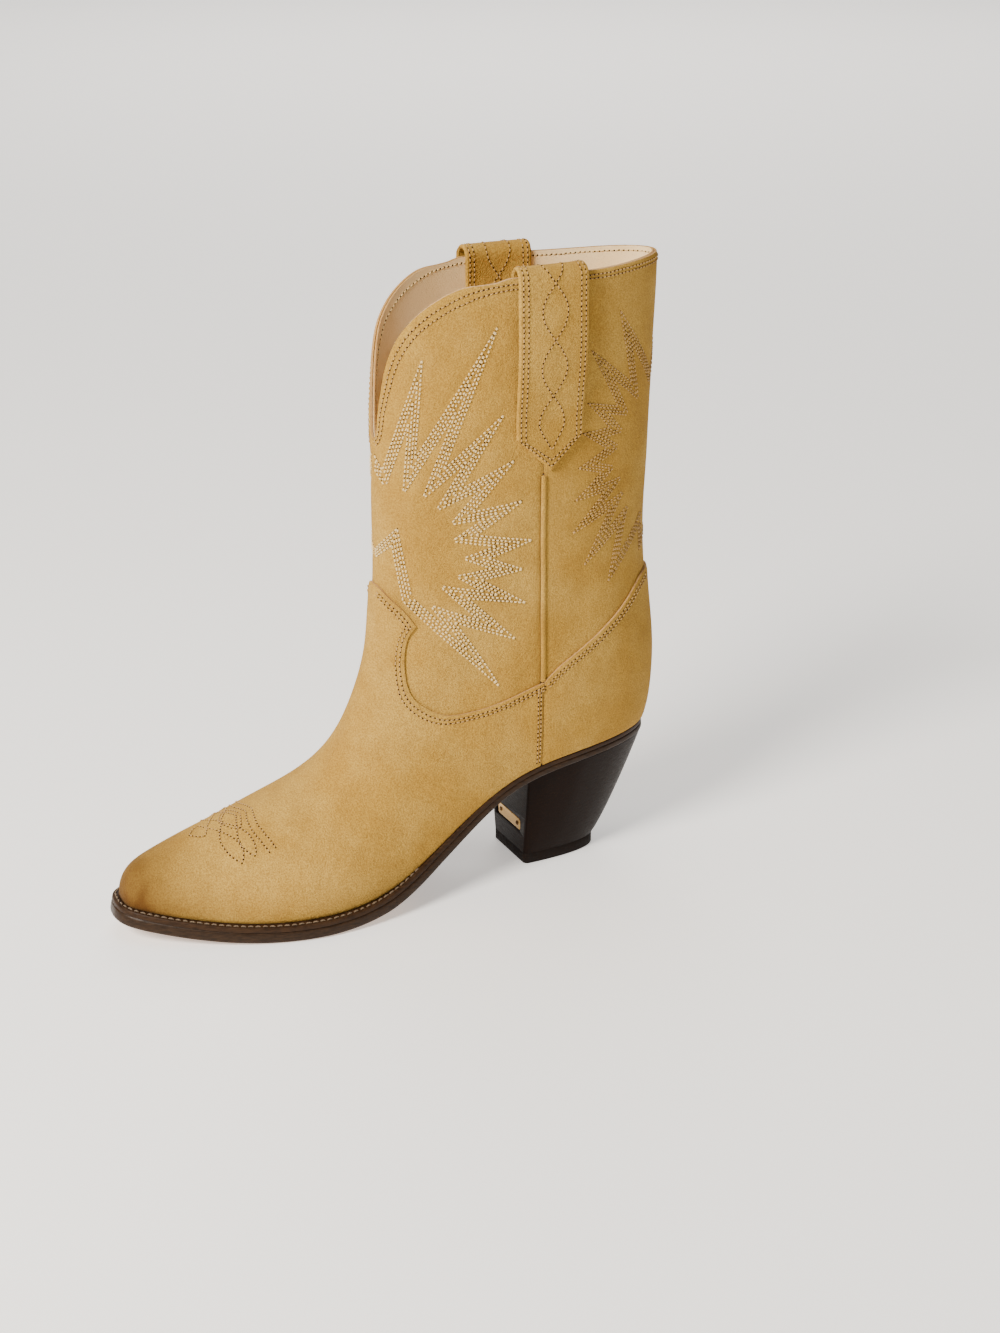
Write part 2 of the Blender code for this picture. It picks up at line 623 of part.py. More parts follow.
def heel_ring(h, count=11, corner=2.5):
    """Plan outline of the heel at relative height h: straight breast, rounded back."""
    sweep = np.linspace(0, np.pi / 2, count)
    inner = offset_contour(1, MARGIN_INNER)
    back = (1 - h) * BASE_BACK + h * (inner[-1, 1] - 1.0)
    y = BREAST_Y + (back - BREAST_Y) * np.sin(sweep) ** 0.8
    seat_y = BREAST_Y + (inner[-1, 1] - 1.0 - BREAST_Y) * np.sin(sweep) ** 0.8
    base = BASE_HALF * np.cos(sweep) ** 0.62
    half = []
    for side, margins in ((1, MARGIN_INNER), (-1, MARGIN_OUTER)):
        edge = offset_contour(side, margins)
        seat = (np.interp(seat_y, edge[:, 1], edge[:, 0]) - MIDDLE_X) * side - 0.3
        seat *= SEAT_TUCK + (1 - SEAT_TUCK) * np.clip((seat_y - BREAST_Y) / 26, 0, 1) ** 0.7
        seat[-1] = 0
        half.append((1 - h) * base + h * seat)
    middle = (1 - h) * BASE_MIDDLE_X + h * MIDDLE_X
    inner_side = [(middle + w, v) for w, v in zip(half[0], y)]
    outer_side = [(middle - w, v) for w, v in zip(half[1], y)]
    start = [(inner_side[0][0] - corner, BREAST_Y), (inner_side[0][0], BREAST_Y + corner)]
    end = [(outer_side[0][0], BREAST_Y + corner), (outer_side[0][0] + corner, BREAST_Y)]
    return start + inner_side[1:-1] + [inner_side[-1]] + outer_side[1:-1][::-1] + end


def make_heel():
    levels = (0.0, 0.25, 0.5, 0.75, 1.0)
    low = LIFT_THICK + GAP
    bm = bmesh.new()
    rings = []
    for level in levels:
        ring = heel_ring(level ** 0.85)
        y = np.array([p[1] for p in ring])
        top = sole_z(HEEL_TOP, y)
        z = low + (top - low) * level
        rings.append([bm.verts.new((x * MM, v * MM, w * MM)) for (x, v), w in zip(ring, z)])
    for below, above in zip(rings, rings[1:]):
        for j in range(len(below)):
            k = (j + 1) % len(below)
            bm.faces.new((below[j], below[k], above[k], above[j]))
    bm.faces.new(rings[0][::-1])
    top = bm.faces.new(rings[-1])
    bmesh.ops.triangulate(bm, faces=[top], ngon_method="EAR_CLIP")
    bmesh.ops.recalc_face_normals(bm, faces=bm.faces)
    mesh = bpy.data.meshes.new("heel_block")
    bm.to_mesh(mesh)
    bm.free()
    block = add_object("heel_block", mesh, "heel")

    lift = outline_mesh("top_lift", heel_ring(0.0), LIFT_THICK, centre=(0, 0, LIFT_THICK / 2))
    return block, add_object("top_lift", lift, "rubber", smooth=False)


def rounded_rectangle(width, height, radius, steps=4):
    points = []
    for corner, (sx, sy) in enumerate(((1, 1), (-1, 1), (-1, -1), (1, -1))):
        for k in range(steps):
            t = math.radians(90 * corner + 90 * k / (steps - 1))
            points.append((sx * (width / 2 - radius) + radius * math.cos(t),
                           sy * (height / 2 - radius) + radius * math.sin(t)))
    return points


def make_plate_screw(name, place):
    """Tiny round-head screw, turned about an axis that points into the heel."""
    profile = ((0.0, -5.8), (0.65, -4.8), (0.65, GAP), (1.25, GAP), (0.8, 0.8), (0.0, 0.95))
    mesh = bpy.data.meshes.new(name)
    points = [(r * MM, 0, h * MM) for r, h in reversed(profile)]
    mesh.from_pydata(points, [(i, i + 1) for i in range(len(points) - 1)], [])
    obj = add_object(name, mesh, "brass")
    obj.location = [c * MM for c in place]
    obj.rotation_euler = (math.radians(90), 0, 0)
    mod = obj.modifiers.new("Screw", "SCREW")
    mod.steps = mod.render_steps = 10
    mod.use_merge_vertices = True
    mod.merge_threshold = 0.00001
    mod.use_smooth_shade = True


def make_heel_plate(block):
    width, height, thick = PLATE
    face = BREAST_Y
    x = BASE_MIDDLE_X
    depth = thick + GAP
    recess = outline_mesh("cut_plate", rounded_rectangle(width + 0.7, height + 0.7, 1.4),
                          2 * depth, FRONT_VIEW, (x, face, PLATE_Z))
    boolean(block, add_object("cut_plate", recess), "DIFFERENCE")
    mesh = outline_mesh("heel_plate", rounded_rectangle(width, height, 1.1), thick,
                        FRONT_VIEW, (x, face + thick / 2, PLATE_Z))
    plate_obj = add_object("heel_plate", mesh, "brass", smooth=False)
    ends = [x - SCREW_SPACING / 2, x + SCREW_SPACING / 2]

    def pins(name, radius, y0, y1):
        bm = bmesh.new()
        for px in ends:
            turn = Matrix.Translation((px * MM, (y0 + y1) / 2 * MM, PLATE_Z * MM))
            turn = turn @ Matrix.Rotation(math.radians(90), 4, "X")
            bmesh.ops.create_cone(bm, cap_ends=True, segments=10, radius1=radius * MM,
                                  radius2=radius * MM, depth=(y1 - y0) * MM, matrix=turn)
        mesh = bpy.data.meshes.new(name)
        bm.to_mesh(mesh)
        bm.free()
        return mesh
    hole = add_object("cut_plate_screws", pins("cut_plate_screws", 1.0, face - 3, face + 7))
    boolean(plate_obj, hole, "DIFFERENCE")
    boolean(block, hole, "DIFFERENCE")
    for number, px in enumerate(ends, 1):
        make_plate_screw(f"heel_plate_screw_{number}", (px, face, PLATE_Z))


def make_heel_fasteners(block, lift, outsole, insole):
    """Screw and nails from the insole into the heel, and pins through the top lift."""
    x0, y0 = MIDDLE_X - 0.8, 94.0
    top = float(sole_z(1.8, y0))
    shafts = [("heel_screw", x0, y0, 2.3, 24.0, top)]
    for number, turn in enumerate((215, 150, 90, 30, -35), 1):
        t = math.radians(turn)
        x, y = x0 + 13 * math.cos(t), y0 - 4 + 17 * math.sin(t)
        top = float(sole_z(1.6, y))
        shafts.append((f"heel_nail_{number}", x, y, 1.1, top - 22, top))
    for name, x, y, radius, low, high in shafts:
        add_object(name, cylinder_mesh(name, x, y, radius, low, high), "steel")
        hole = cylinder_mesh("cut_" + name, x, y, radius + 0.4, low - 0.5, 90)
        cutter = add_object("cut_" + name, hole)
        for part in (block, outsole, insole):
            boolean(part, cutter, "DIFFERENCE")
    for number, (dx, y) in enumerate(((-9, 70.0), (9, 70.0), (0, 93.0)), 1):
        name, x = f"top_lift_pin_{number}", BASE_MIDDLE_X + dx
        add_object(name, cylinder_mesh(name, x, y, 0.9, 1.2, 15.0, 8), "brass")
        cutter = add_object("cut_" + name, cylinder_mesh("cut_" + name, x, y, 1.3, -2, 15.5, 8))
        for part in (lift, block):
            boolean(part, cutter, "DIFFERENCE")


make_vamp()
make_toe_puff()
make_vamp_lining()
make_counter()
make_counter_stiffener()
make_shaft()
make_piping(1, "side_piping_inner")
make_piping(-1, "side_piping_outer")
make_strap(1, "pull_strap_inner")
make_strap(-1, "pull_strap_outer")
OUTSOLE, INSOLE = make_bottom()
make_welt_thread()
BLOCK, LIFT = make_heel()
make_heel_plate(BLOCK)
make_heel_fasteners(BLOCK, LIFT, OUTSOLE, INSOLE)
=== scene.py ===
import math

import bmesh
import bpy
import numpy as np
from mathutils import Matrix, Vector


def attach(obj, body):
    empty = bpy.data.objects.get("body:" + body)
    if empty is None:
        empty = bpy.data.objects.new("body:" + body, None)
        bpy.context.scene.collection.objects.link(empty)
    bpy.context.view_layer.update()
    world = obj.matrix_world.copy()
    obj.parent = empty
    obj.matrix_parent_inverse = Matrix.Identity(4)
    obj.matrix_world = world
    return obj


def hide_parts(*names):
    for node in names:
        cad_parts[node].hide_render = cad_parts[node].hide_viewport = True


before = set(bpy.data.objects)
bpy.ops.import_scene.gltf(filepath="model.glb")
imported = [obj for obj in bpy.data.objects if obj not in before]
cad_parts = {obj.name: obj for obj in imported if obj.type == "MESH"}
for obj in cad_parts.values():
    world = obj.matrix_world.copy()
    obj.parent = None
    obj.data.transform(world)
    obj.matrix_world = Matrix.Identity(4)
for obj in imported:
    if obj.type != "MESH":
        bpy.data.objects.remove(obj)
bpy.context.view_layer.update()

MM = 0.001

# --- shape of last and shaft, as in the CAD model
# front y, front z, back y, back z, inner half width, outer half width, middle x,
# fullness of the lower half
SECTIONS = (
    (-131.5, 9.0, -131.5, 9.0, 0.0, 0.0, 1.5, 0.00),
    (-133.6, 21.0, -131.5, 1.0, 6.5, 7.2, 1.5, 0.08),
    (-129.0, 31.8, -127.0, -4.0, 11.5, 13.0, 1.5, 0.12),
    (-115.0, 36.4, -115.0, -8.0, 19.3, 21.6, 1.7, 0.15),
    (-98.0, 41.0, -98.0, -12.0, 27.3, 31.5, 2.0, 0.17),
    (-78.0, 45.8, -78.0, -13.0, 35.3, 41.0, 2.3, 0.19),
    (-57.5, 51.0, -57.0, -12.0, 40.7, 48.0, 2.6, 0.20),
    (-42.0, 57.0, -29.0, -11.0, 41.5, 50.5, 3.0, 0.20),
    (-31.0, 67.0, 6.0, -4.0, 36.0, 44.5, 3.5, 0.18),
    (-23.5, 79.5, 42.0, 18.0, 30.3, 36.0, 4.0, 0.12),
    (-17.5, 94.0, 86.0, 36.0, 27.8, 31.5, 4.5, 0.10),
    (-13.2, 108.0, 123.0, 46.0, 28.6, 30.2, 5.0, 0.11),
    (-10.3, 121.0, 134.5, 67.0, 29.4, 30.2, 5.0, 0.08),
    (-8.3, 133.5, 136.8, 93.0, 29.6, 30.0, 5.0, 0.04),
    (-7.2, 146.0, 134.3, 122.0, 29.2, 29.4, 5.0, 0.02),
    (-6.6, 161.0, 131.5, 151.0, 29.0, 29.0, 5.0, 0.01),
    (-6.4, 185.0, 131.5, 184.0, 29.0, 29.0, 5.0, 0.00),
    (-6.4, 230.0, 134.0, 230.0, 29.3, 29.3, 5.0, 0.00),
    (-6.4, 300.0, 136.5, 300.0, 28.5, 28.5, 5.0, 0.00),
)
TOP = len(SECTIONS) - 1
FEATHER = (                   # side profile (y, z) where the upper meets the welt
    (-150, 20.2), (-133.5, 16.0), (-115, 12.6), (-98, 10.0), (-80, 8.6), (-60, 8.4),
    (-40, 9.0), (-22, 11.9), (-8, 17.6), (6, 25.8), (20, 34.9), (34, 44.2), (48, 51.8),
    (62, 56.8), (80, 60.0), (105, 62.2), (132, 63.6), (150, 64.6),
)
SEAM_Y = 65.0
MIDDLE_X = 5.0
RIM_Z = 291.7
GAP = 0.3
PIPING_SLOT = 1.4
PIPING_TOP = 201.0

# --- edges of the upper in side view (y, z); each tuple is one smooth run
TONGUE = ((-14.0, 158.0), (-7.0, 152.0), (-3.4, 146.6), (1.9, 140.2), (6.2, 133.6))
SCOOP = ((6.2, 133.6), (2.5, 127.0), (1.0, 115.0), (2.4, 102.2), (8.1, 94.8),
         (18.8, 89.8), (33.2, 91.0), (45.3, 94.0), (57.6, 98.1), (SEAM_Y, 100.2))
COUNTER_TOP = ((SEAM_Y, 100.2), (73.6, 107.2), (84.9, 113.7), (96.5, 120.3),
               (109.2, 128.4), (119.9, 137.0), (127.0, 141.0), (150.0, 143.0))
FRONT_FOOT = ((-30.0, 138.0), (-5.0, 134.0), (-5.5, 120.0), (-5.0, 104.0), (1.0, 90.0),
              (16.0, 81.5), (34.0, 82.5), (50.0, 86.0), (SEAM_Y, 91.5))
BACK_FOOT = ((SEAM_Y, 91.5), (73.0, 98.0), (85.0, 104.5), (97.0, 111.0), (109.0, 119.0),
             (120.0, 128.0), (127.0, 131.5), (150.0, 133.0))
RIM_BACK = ((SEAM_Y, RIM_Z), (100.0, RIM_Z), (125.0, 292.8), (150.0, 294.0))
FRONT_DIP = (                 # half outline of the scalloped front, (x from middle, z)
    (0.0, 219.5), (2.4, 222.5), (3.9, 231.4), (6.4, 243.0), (9.2, 255.5), (12.8, 266.6),
    (16.8, 275.4), (21.0, 283.2), (24.4, 288.6), (28.0, 291.9), (29.0, 310.0),
)

# --- layers: outer face offset from the surface, thickness
OUTER = (1.6, 1.5)
SHAFT = (0.0, 1.4)
LINING = (-1.45, 1.2)
COLUMNS = 208                 # facets round a panel
ROW_STEP = 1.7                # spacing of its rows

# --- sole and heel
WELT_TOP, WELT_THICK = -GAP, 2.6
OUTSOLE_TOP = WELT_TOP - WELT_THICK - 0.05
OUTSOLE_FORE, OUTSOLE_WAIST = 5.4, 3.2
MARGIN_INNER = ((-140, 4.4), (-120, 4.8), (-90, 5.4), (-50, 5.6), (-20, 4.6), (5, 2.6),
                (40, 1.5), (65, 1.2), (140, 1.0))
MARGIN_OUTER = ((-140, 4.4), (-120, 4.6), (-90, 4.6), (-50, 4.2), (-20, 3.8), (10, 3.2),
                (40, 2.0), (65, 1.2), (140, 1.0))
RING_INSIDE = 6.5
BREAST_Y = 62.0
LIFT_THICK = 5.5
BASE_HALF = 17.5
BASE_BACK = 105.0
SEAT_TUCK = 0.80
BASE_MIDDLE_X = 3.6
PLATE = (24.0, 6.0, 1.0)
PLATE_Z = 19.0
SCREW_SPACING = 18.0

# --- straps
STRAP_HALF, STRAP_Y, STRAP_THICK = 17.0, 68.0, 1.7
STRAP_CORNER_Z, STRAP_POINT, STRAP_TOP_Z = 219.5, 16.5, 296.9

# --- sunburst stitching: (distance round from the middle line, height)
FRONT_TIPS = ((0, 214), (26.3, 258), (59.4, 271.2), (62.6, 231.3), (67.7, 209.8),
              (71.9, 190.4), (77.2, 171), (72.5, 157.5), (73.7, 141), (68.1, 124),
              (62.7, 101.5), (11.5, 172))
FRONT_VALLEYS = ((8.5, 199), (17.1, 196.5), (25.8, 194.5), (31.8, 188.8), (38.3, 182),
                 (39.1, 174.2), (43.9, 165.7), (40.6, 157.4), (33.5, 153), (29.1, 143.8),
                 (20.5, 147.5))
BACK_TIPS = ((0, 262), (38.8, 271.2), (54.9, 255.4), (55.7, 231.2), (57.9, 217.4),
             (60.1, 201.5), (61.4, 186.3), (62.4, 170.8), (56, 154), (42, 143), (16, 152))
BACK_VALLEYS = ((12, 232), (23.1, 227), (30.3, 221.4), (33.6, 214.4), (36, 207.7),
                (38.5, 198.8), (33, 192.7), (31, 185.5), (27, 178), (14, 172))


# --- surface of the boot
def spline(points, t):
    """Uniform cubic B-spline through rows of numbers, read at t = 0 ... len - 1."""
    p = np.asarray(points, float)
    p = np.vstack([2 * p[0] - p[1], p, 2 * p[-1] - p[-2]])
    t = np.clip(np.asarray(t, float), 0.0, len(points) - 1.0)
    i = np.minimum(t.astype(int), len(points) - 2)
    u = (t - i)[..., None]
    return ((1 - u) ** 3 * p[i] + (3 * u ** 3 - 6 * u ** 2 + 4) * p[i + 1]
            + (-3 * u ** 3 + 3 * u ** 2 + 3 * u + 1) * p[i + 2] + u ** 3 * p[i + 3]) / 6


def through(points, step=1.5):
    """Catmull-Rom curve that passes through its points, about one point per step."""
    p = np.asarray(points, float)
    p = np.vstack([2 * p[0] - p[1], p, 2 * p[-1] - p[-2]])
    out = []
    for i in range(1, len(p) - 2):
        count = max(2, int(np.linalg.norm(p[i + 1] - p[i]) / step))
        u = np.linspace(0, 1, count, endpoint=False)[:, None]
        out.append(0.5 * (2 * p[i] + (p[i + 1] - p[i - 1]) * u
                          + (2 * p[i - 1] - 5 * p[i] + 4 * p[i + 1] - p[i + 2]) * u ** 2
                          + (3 * p[i] - p[i - 1] - 3 * p[i + 1] + p[i + 2]) * u ** 3))
    return np.vstack(out + [p[-2:-1]])


def travel(points):
    """Distance along a polyline at each of its points."""
    return np.r_[0, np.cumsum(np.linalg.norm(np.diff(points, axis=0), axis=1))]


def skin(s, a):
    """Point of the upper at section s and angle a; 0 is the front, +1 and -1 the back."""
    s, a = np.broadcast_arrays(np.asarray(s, float), np.asarray(a, float))
    r = spline(SECTIONS, s)
    phi = np.abs(a) * np.pi
    q = (1 - np.cos(phi)) / 2
    half = np.where(a >= 0, r[..., 4], r[..., 5]) * np.sin(phi)
    half = half * (1 - r[..., 7] * np.cos(phi))
    return np.stack([r[..., 6] + np.sign(a) * half, r[..., 0] + q * (r[..., 2] - r[..., 0]),
                     r[..., 1] + q * (r[..., 3] - r[..., 1])], -1)


def wrap(a):
    return np.where(a > 1, a - 2, np.where(a < -1, a + 2, a))


def skin_normal(s, a):
    e = 0.004
    along = skin(np.minimum(s + e, TOP), a) - skin(np.maximum(s - e, 0), a)
    n = np.cross(skin(s, wrap(a + e)) - skin(s, wrap(a - e)), along)
    size = np.linalg.norm(n, axis=-1, keepdims=True)
    return np.where(size > 1e-9, n / np.maximum(size, 1e-9), (0.0, -1.0, 0.0))


def relief(p):
    """Soft unevenness of worn leather, in millimetres, stronger round the ankle."""
    x, y, z = p[..., 0], p[..., 1], p[..., 2]
    side = np.where(x > MIDDLE_X, 0.0, 1.7)
    slow = np.sin(z / 21 + y / 37 + side) * np.sin(y / 26 - z / 47 + 2 * side)
    quick = np.sin(z / 9.5 - y / 14 + side) * np.sin(y / 12 + z / 31 + side)
    ankle = np.exp(-((z - 128) / 34) ** 2 - ((y - 30) / 60) ** 2)
    fold = np.sin((z - 0.35 * y) / 8.5 + side) * np.exp(-((z - 118) / 26) ** 2)
    near_rim = np.clip((RIM_Z - z) / 30, 0, 1)
    sole = np.clip((z - feather_z(y) - 4) / 25, 0, 1)
    wave = 0.30 * slow + 0.16 * quick + 0.55 * ankle * quick + 0.22 * ankle * fold
    return wave * near_rim * sole * np.clip((y + 125) / 40, 0, 1)


def skin_offset(s, a, d):
    """Point at distance d outside the uneven surface of the upper."""
    s, a = np.broadcast_arrays(np.asarray(s, float), np.asarray(a, float))
    p = skin(s, a)
    return p + skin_normal(s, a) * (np.asarray(d, float) + relief(p))[..., None]


FEATHER_CURVE = spline(FEATHER, np.linspace(0, len(FEATHER) - 1, 400))


def feather_z(y):
    return np.interp(y, FEATHER_CURVE[:, 0], FEATHER_CURVE[:, 1])


def root(fn, low, high):
    """Bisection: where fn turns from negative (low) to positive (high)."""
    for _ in range(32):
        mid = (low + high) / 2
        above = fn(mid) > 0
        low, high = np.where(above, low, mid), np.where(above, mid, high)
    return (low + high) / 2


def section_at(z, y):
    """Section number and angle of the shaft point at height z and side position y."""
    def place(s):
        r = spline(SECTIONS, s)
        return r, (y - r[..., 0]) / (r[..., 2] - r[..., 0])

    def rise(s):
        r, q = place(s)
        return r[..., 1] + q * (r[..., 3] - r[..., 1]) - z
    z = np.asarray(z, float)
    s = root(rise, np.full(z.shape, 9.2), np.full(z.shape, float(TOP)))
    q = np.clip(place(s)[1], 0, 1)
    return s, np.arccos(1 - 2 * q) / np.pi


ROUND_A = np.linspace(0, 1, 400)
ROUND_U = travel(skin(16.0, ROUND_A))


def at_height(u, z, back=False):
    """Section and angle at height z and distance u round from the front or back line."""
    a = np.interp(ROUND_U[-1] - u if back else u, ROUND_U, ROUND_A)
    s = root(lambda s: skin(s, a)[..., 2] - z, np.full(np.shape(z), 9.2),
             np.full(np.shape(z), float(TOP)))
    return s, a


def round_from(s, a):
    """Distance round the shaft from the front line to angle a."""
    return np.interp(np.abs(a), ROUND_A, ROUND_U)


# --- plan of the sole
def contour(side, n=200):
    """Feather line in plan, (x, y) from the toe tip to the back of the heel."""
    def low(a, s):
        p = skin(s, a * side)
        return feather_z(p[..., 1]) - p[..., 2]
    s = 0.05 + (np.linspace(0, 1, n) ** 1.6) * 10.5
    a = root(lambda a: low(a, s), np.zeros(n), np.full(n, 0.98))
    fore = skin(s, a * side)
    fore = fore[(fore[:, 1] < SEAM_Y - 2) & (np.abs(fore[:, 2] - feather_z(fore[:, 1])) < 0.1)]
    tip_s = root(lambda s: skin(s, 0.0)[..., 2] - feather_z(skin(s, 0.0)[..., 1]),
                 np.zeros(1), np.full(1, 2.0))
    b = np.linspace(0, 1, 60)

    def angle(s):
        r = spline(SECTIONS, s)
        seam = np.arccos(1 - 2 * (SEAM_Y - r[..., 0]) / (r[..., 2] - r[..., 0])) / np.pi
        return (seam + (1 - seam) * b) * side
    s = root(lambda s: -low(np.abs(angle(s)), s), np.full(60, 9.6), np.full(60, 14.0))
    rear = skin(s, angle(s))
    return np.vstack([skin(tip_s, np.zeros(1)), fore, rear])[:, :2]


HALF = 250                    # stations from heel to toe on each side of the sole


def plan_loop():
    """Feather line from the heel by the inner side to the toe and back, with normals."""
    halves = []
    for side in (1, -1):
        c = contour(side)
        length = travel(c)
        at = np.linspace(0, length[-1], HALF + 1)
        halves.append(np.stack([np.interp(at, length, v) for v in c.T], 1))
    loop = np.vstack([halves[0][::-1], halves[1][1:-1]])
    for _ in range(6):
        loop = (np.roll(loop, 1, 0) + 2 * loop + np.roll(loop, -1, 0)) / 4
    t = np.roll(loop, -1, 0) - np.roll(loop, 1, 0)
    t /= np.linalg.norm(t, axis=1, keepdims=True)
    return loop, np.stack([-t[:, 1], t[:, 0]], 1)


LOOP, LOOP_NORMAL = plan_loop()
STATIONS = len(LOOP)
TABLES = [np.array(t, float) for t in (MARGIN_INNER, MARGIN_OUTER)]
MARGIN = np.where(np.arange(STATIONS) <= HALF,
                  np.interp(LOOP[:, 1], TABLES[0][:, 0], TABLES[0][:, 1]),
                  np.interp(LOOP[:, 1], TABLES[1][:, 0], TABLES[1][:, 1]))


def plan(index, edge, extra):
    """Plan point at a station: edge 0 is the feather line, 1 the sole's edge."""
    index = np.asarray(index) % STATIONS
    out = MARGIN[index] * edge + extra
    return LOOP[index] + LOOP_NORMAL[index] * out[..., None]


def sole_point(x, y, d):
    """Point at distance d above the feather profile, measured along its normal."""
    slope = feather_z(y + 0.5) - feather_z(y - 0.5)
    size = np.sqrt(1 + slope ** 2)
    return np.stack(np.broadcast_arrays(x, y - slope / size * d, feather_z(y) + d / size), -1)


def sole_z(d, y):
    """Height of the sole sheet at distance d over the plan position y."""
    line = np.linspace(-149, 149, 600)
    p = sole_point(0 * line, line, d)
    return np.interp(y, p[:, 1], p[:, 2])


# --- mesh helpers
def mesh_from(name, verts, faces, indices=None, weld=True):
    """Smooth-shaded mesh of vertices in millimetres, with optional material indices."""
    mesh = bpy.data.meshes.new(name)
    mesh.from_pydata([tuple(v) for v in np.asarray(verts) * MM], [], faces)
    if indices is not None:
        mesh.polygons.foreach_set("material_index", indices)
    if weld:
        bm = bmesh.new()
        bm.from_mesh(mesh)
        bmesh.ops.remove_doubles(bm, verts=bm.verts, dist=0.000004)
        bmesh.ops.dissolve_degenerate(bm, edges=bm.edges, dist=0.000002)
        bm.to_mesh(mesh)
        bm.free()
    mesh.shade_smooth()
    mesh.set_sharp_from_angle(angle=math.radians(42))
    return mesh


def grid_faces(rows, cols, closed_cols=False):
    width = cols if closed_cols else cols - 1
    i, j = np.meshgrid(np.arange(rows - 1), np.arange(width), indexing="ij")
    k = (j + 1) % cols
    quads = np.stack([i * cols + j, i * cols + k, (i + 1) * cols + k, (i + 1) * cols + j], -1)
    return [tuple(q) for q in quads.reshape(-1, 4).tolist()]


def face_out(mesh):
    bm = bmesh.new()
    bm.from_mesh(mesh)
    bmesh.ops.recalc_face_normals(bm, faces=bm.faces)
    bm.to_mesh(mesh)
    bm.free()


def sweep(name, rings, caps=True):
    """Closed profile loops (rows, points, 3) joined into a skin, with end caps."""
    rows, cols = rings.shape[:2]
    faces = grid_faces(rows, cols, closed_cols=True)
    if caps:
        faces += [tuple(range(cols))[::-1], tuple(range((rows - 1) * cols, rows * cols))]
    mesh = mesh_from(name, rings.reshape(-1, 3), faces)
    face_out(mesh)
    return mesh


def add_piece(name, mesh, materials, nodes=()):
    """Link a piece that rides on the boot and stands for the given CAD nodes."""
    obj = bpy.data.objects.new(name, mesh)
    bpy.context.scene.collection.objects.link(obj)
    for mat in materials:
        mesh.materials.append(mat)
    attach(obj, "root")
    if nodes:
        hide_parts(*nodes)
    return obj


def cut_away(obj, mesh):
    """Boolean difference with a mesh, applied at once."""
    cutter = bpy.data.objects.new("cutter", mesh)
    bpy.context.scene.collection.objects.link(cutter)
    mod = obj.modifiers.new("Cut", "BOOLEAN")
    mod.operation, mod.solver, mod.object = "DIFFERENCE", "EXACT", cutter
    graph = bpy.context.evaluated_depsgraph_get()
    result = bpy.data.meshes.new_from_object(obj.evaluated_get(graph))
    obj.modifiers.clear()
    obj.data = result
    bpy.data.objects.remove(cutter, do_unlink=True)


def depth_inside(p, outline):
    """Distance of 2D points inside (+) or outside (-) a closed outline."""
    a = np.asarray(outline, float)
    ab = np.roll(a, -1, 0) - a
    best = np.full(len(p), 1e18)
    inside = np.zeros(len(p), bool)
    for (ax, ay), (bx, by) in zip(a, ab):
        dx, dy = p[:, 0] - ax, p[:, 1] - ay
        t = np.clip((dx * bx + dy * by) / (bx * bx + by * by + 1e-12), 0, 1)
        best = np.minimum(best, (dx - t * bx) ** 2 + (dy - t * by) ** 2)
        if by:
            crosses = (dy > 0) != (dy > by)
            inside ^= crosses & (dx < dy * bx / by)
    return np.sqrt(best) * np.where(inside, 1, -1)


def section_rows(low, high):
    """Section numbers from low to high about one row step apart on the side line."""
    fine = np.linspace(low, high, 3000)
    p = skin(fine, 0.45)
    length = travel(p)
    at = np.linspace(0, length[-1], int(length[-1] / ROW_STEP))
    return np.interp(at, length, fine)


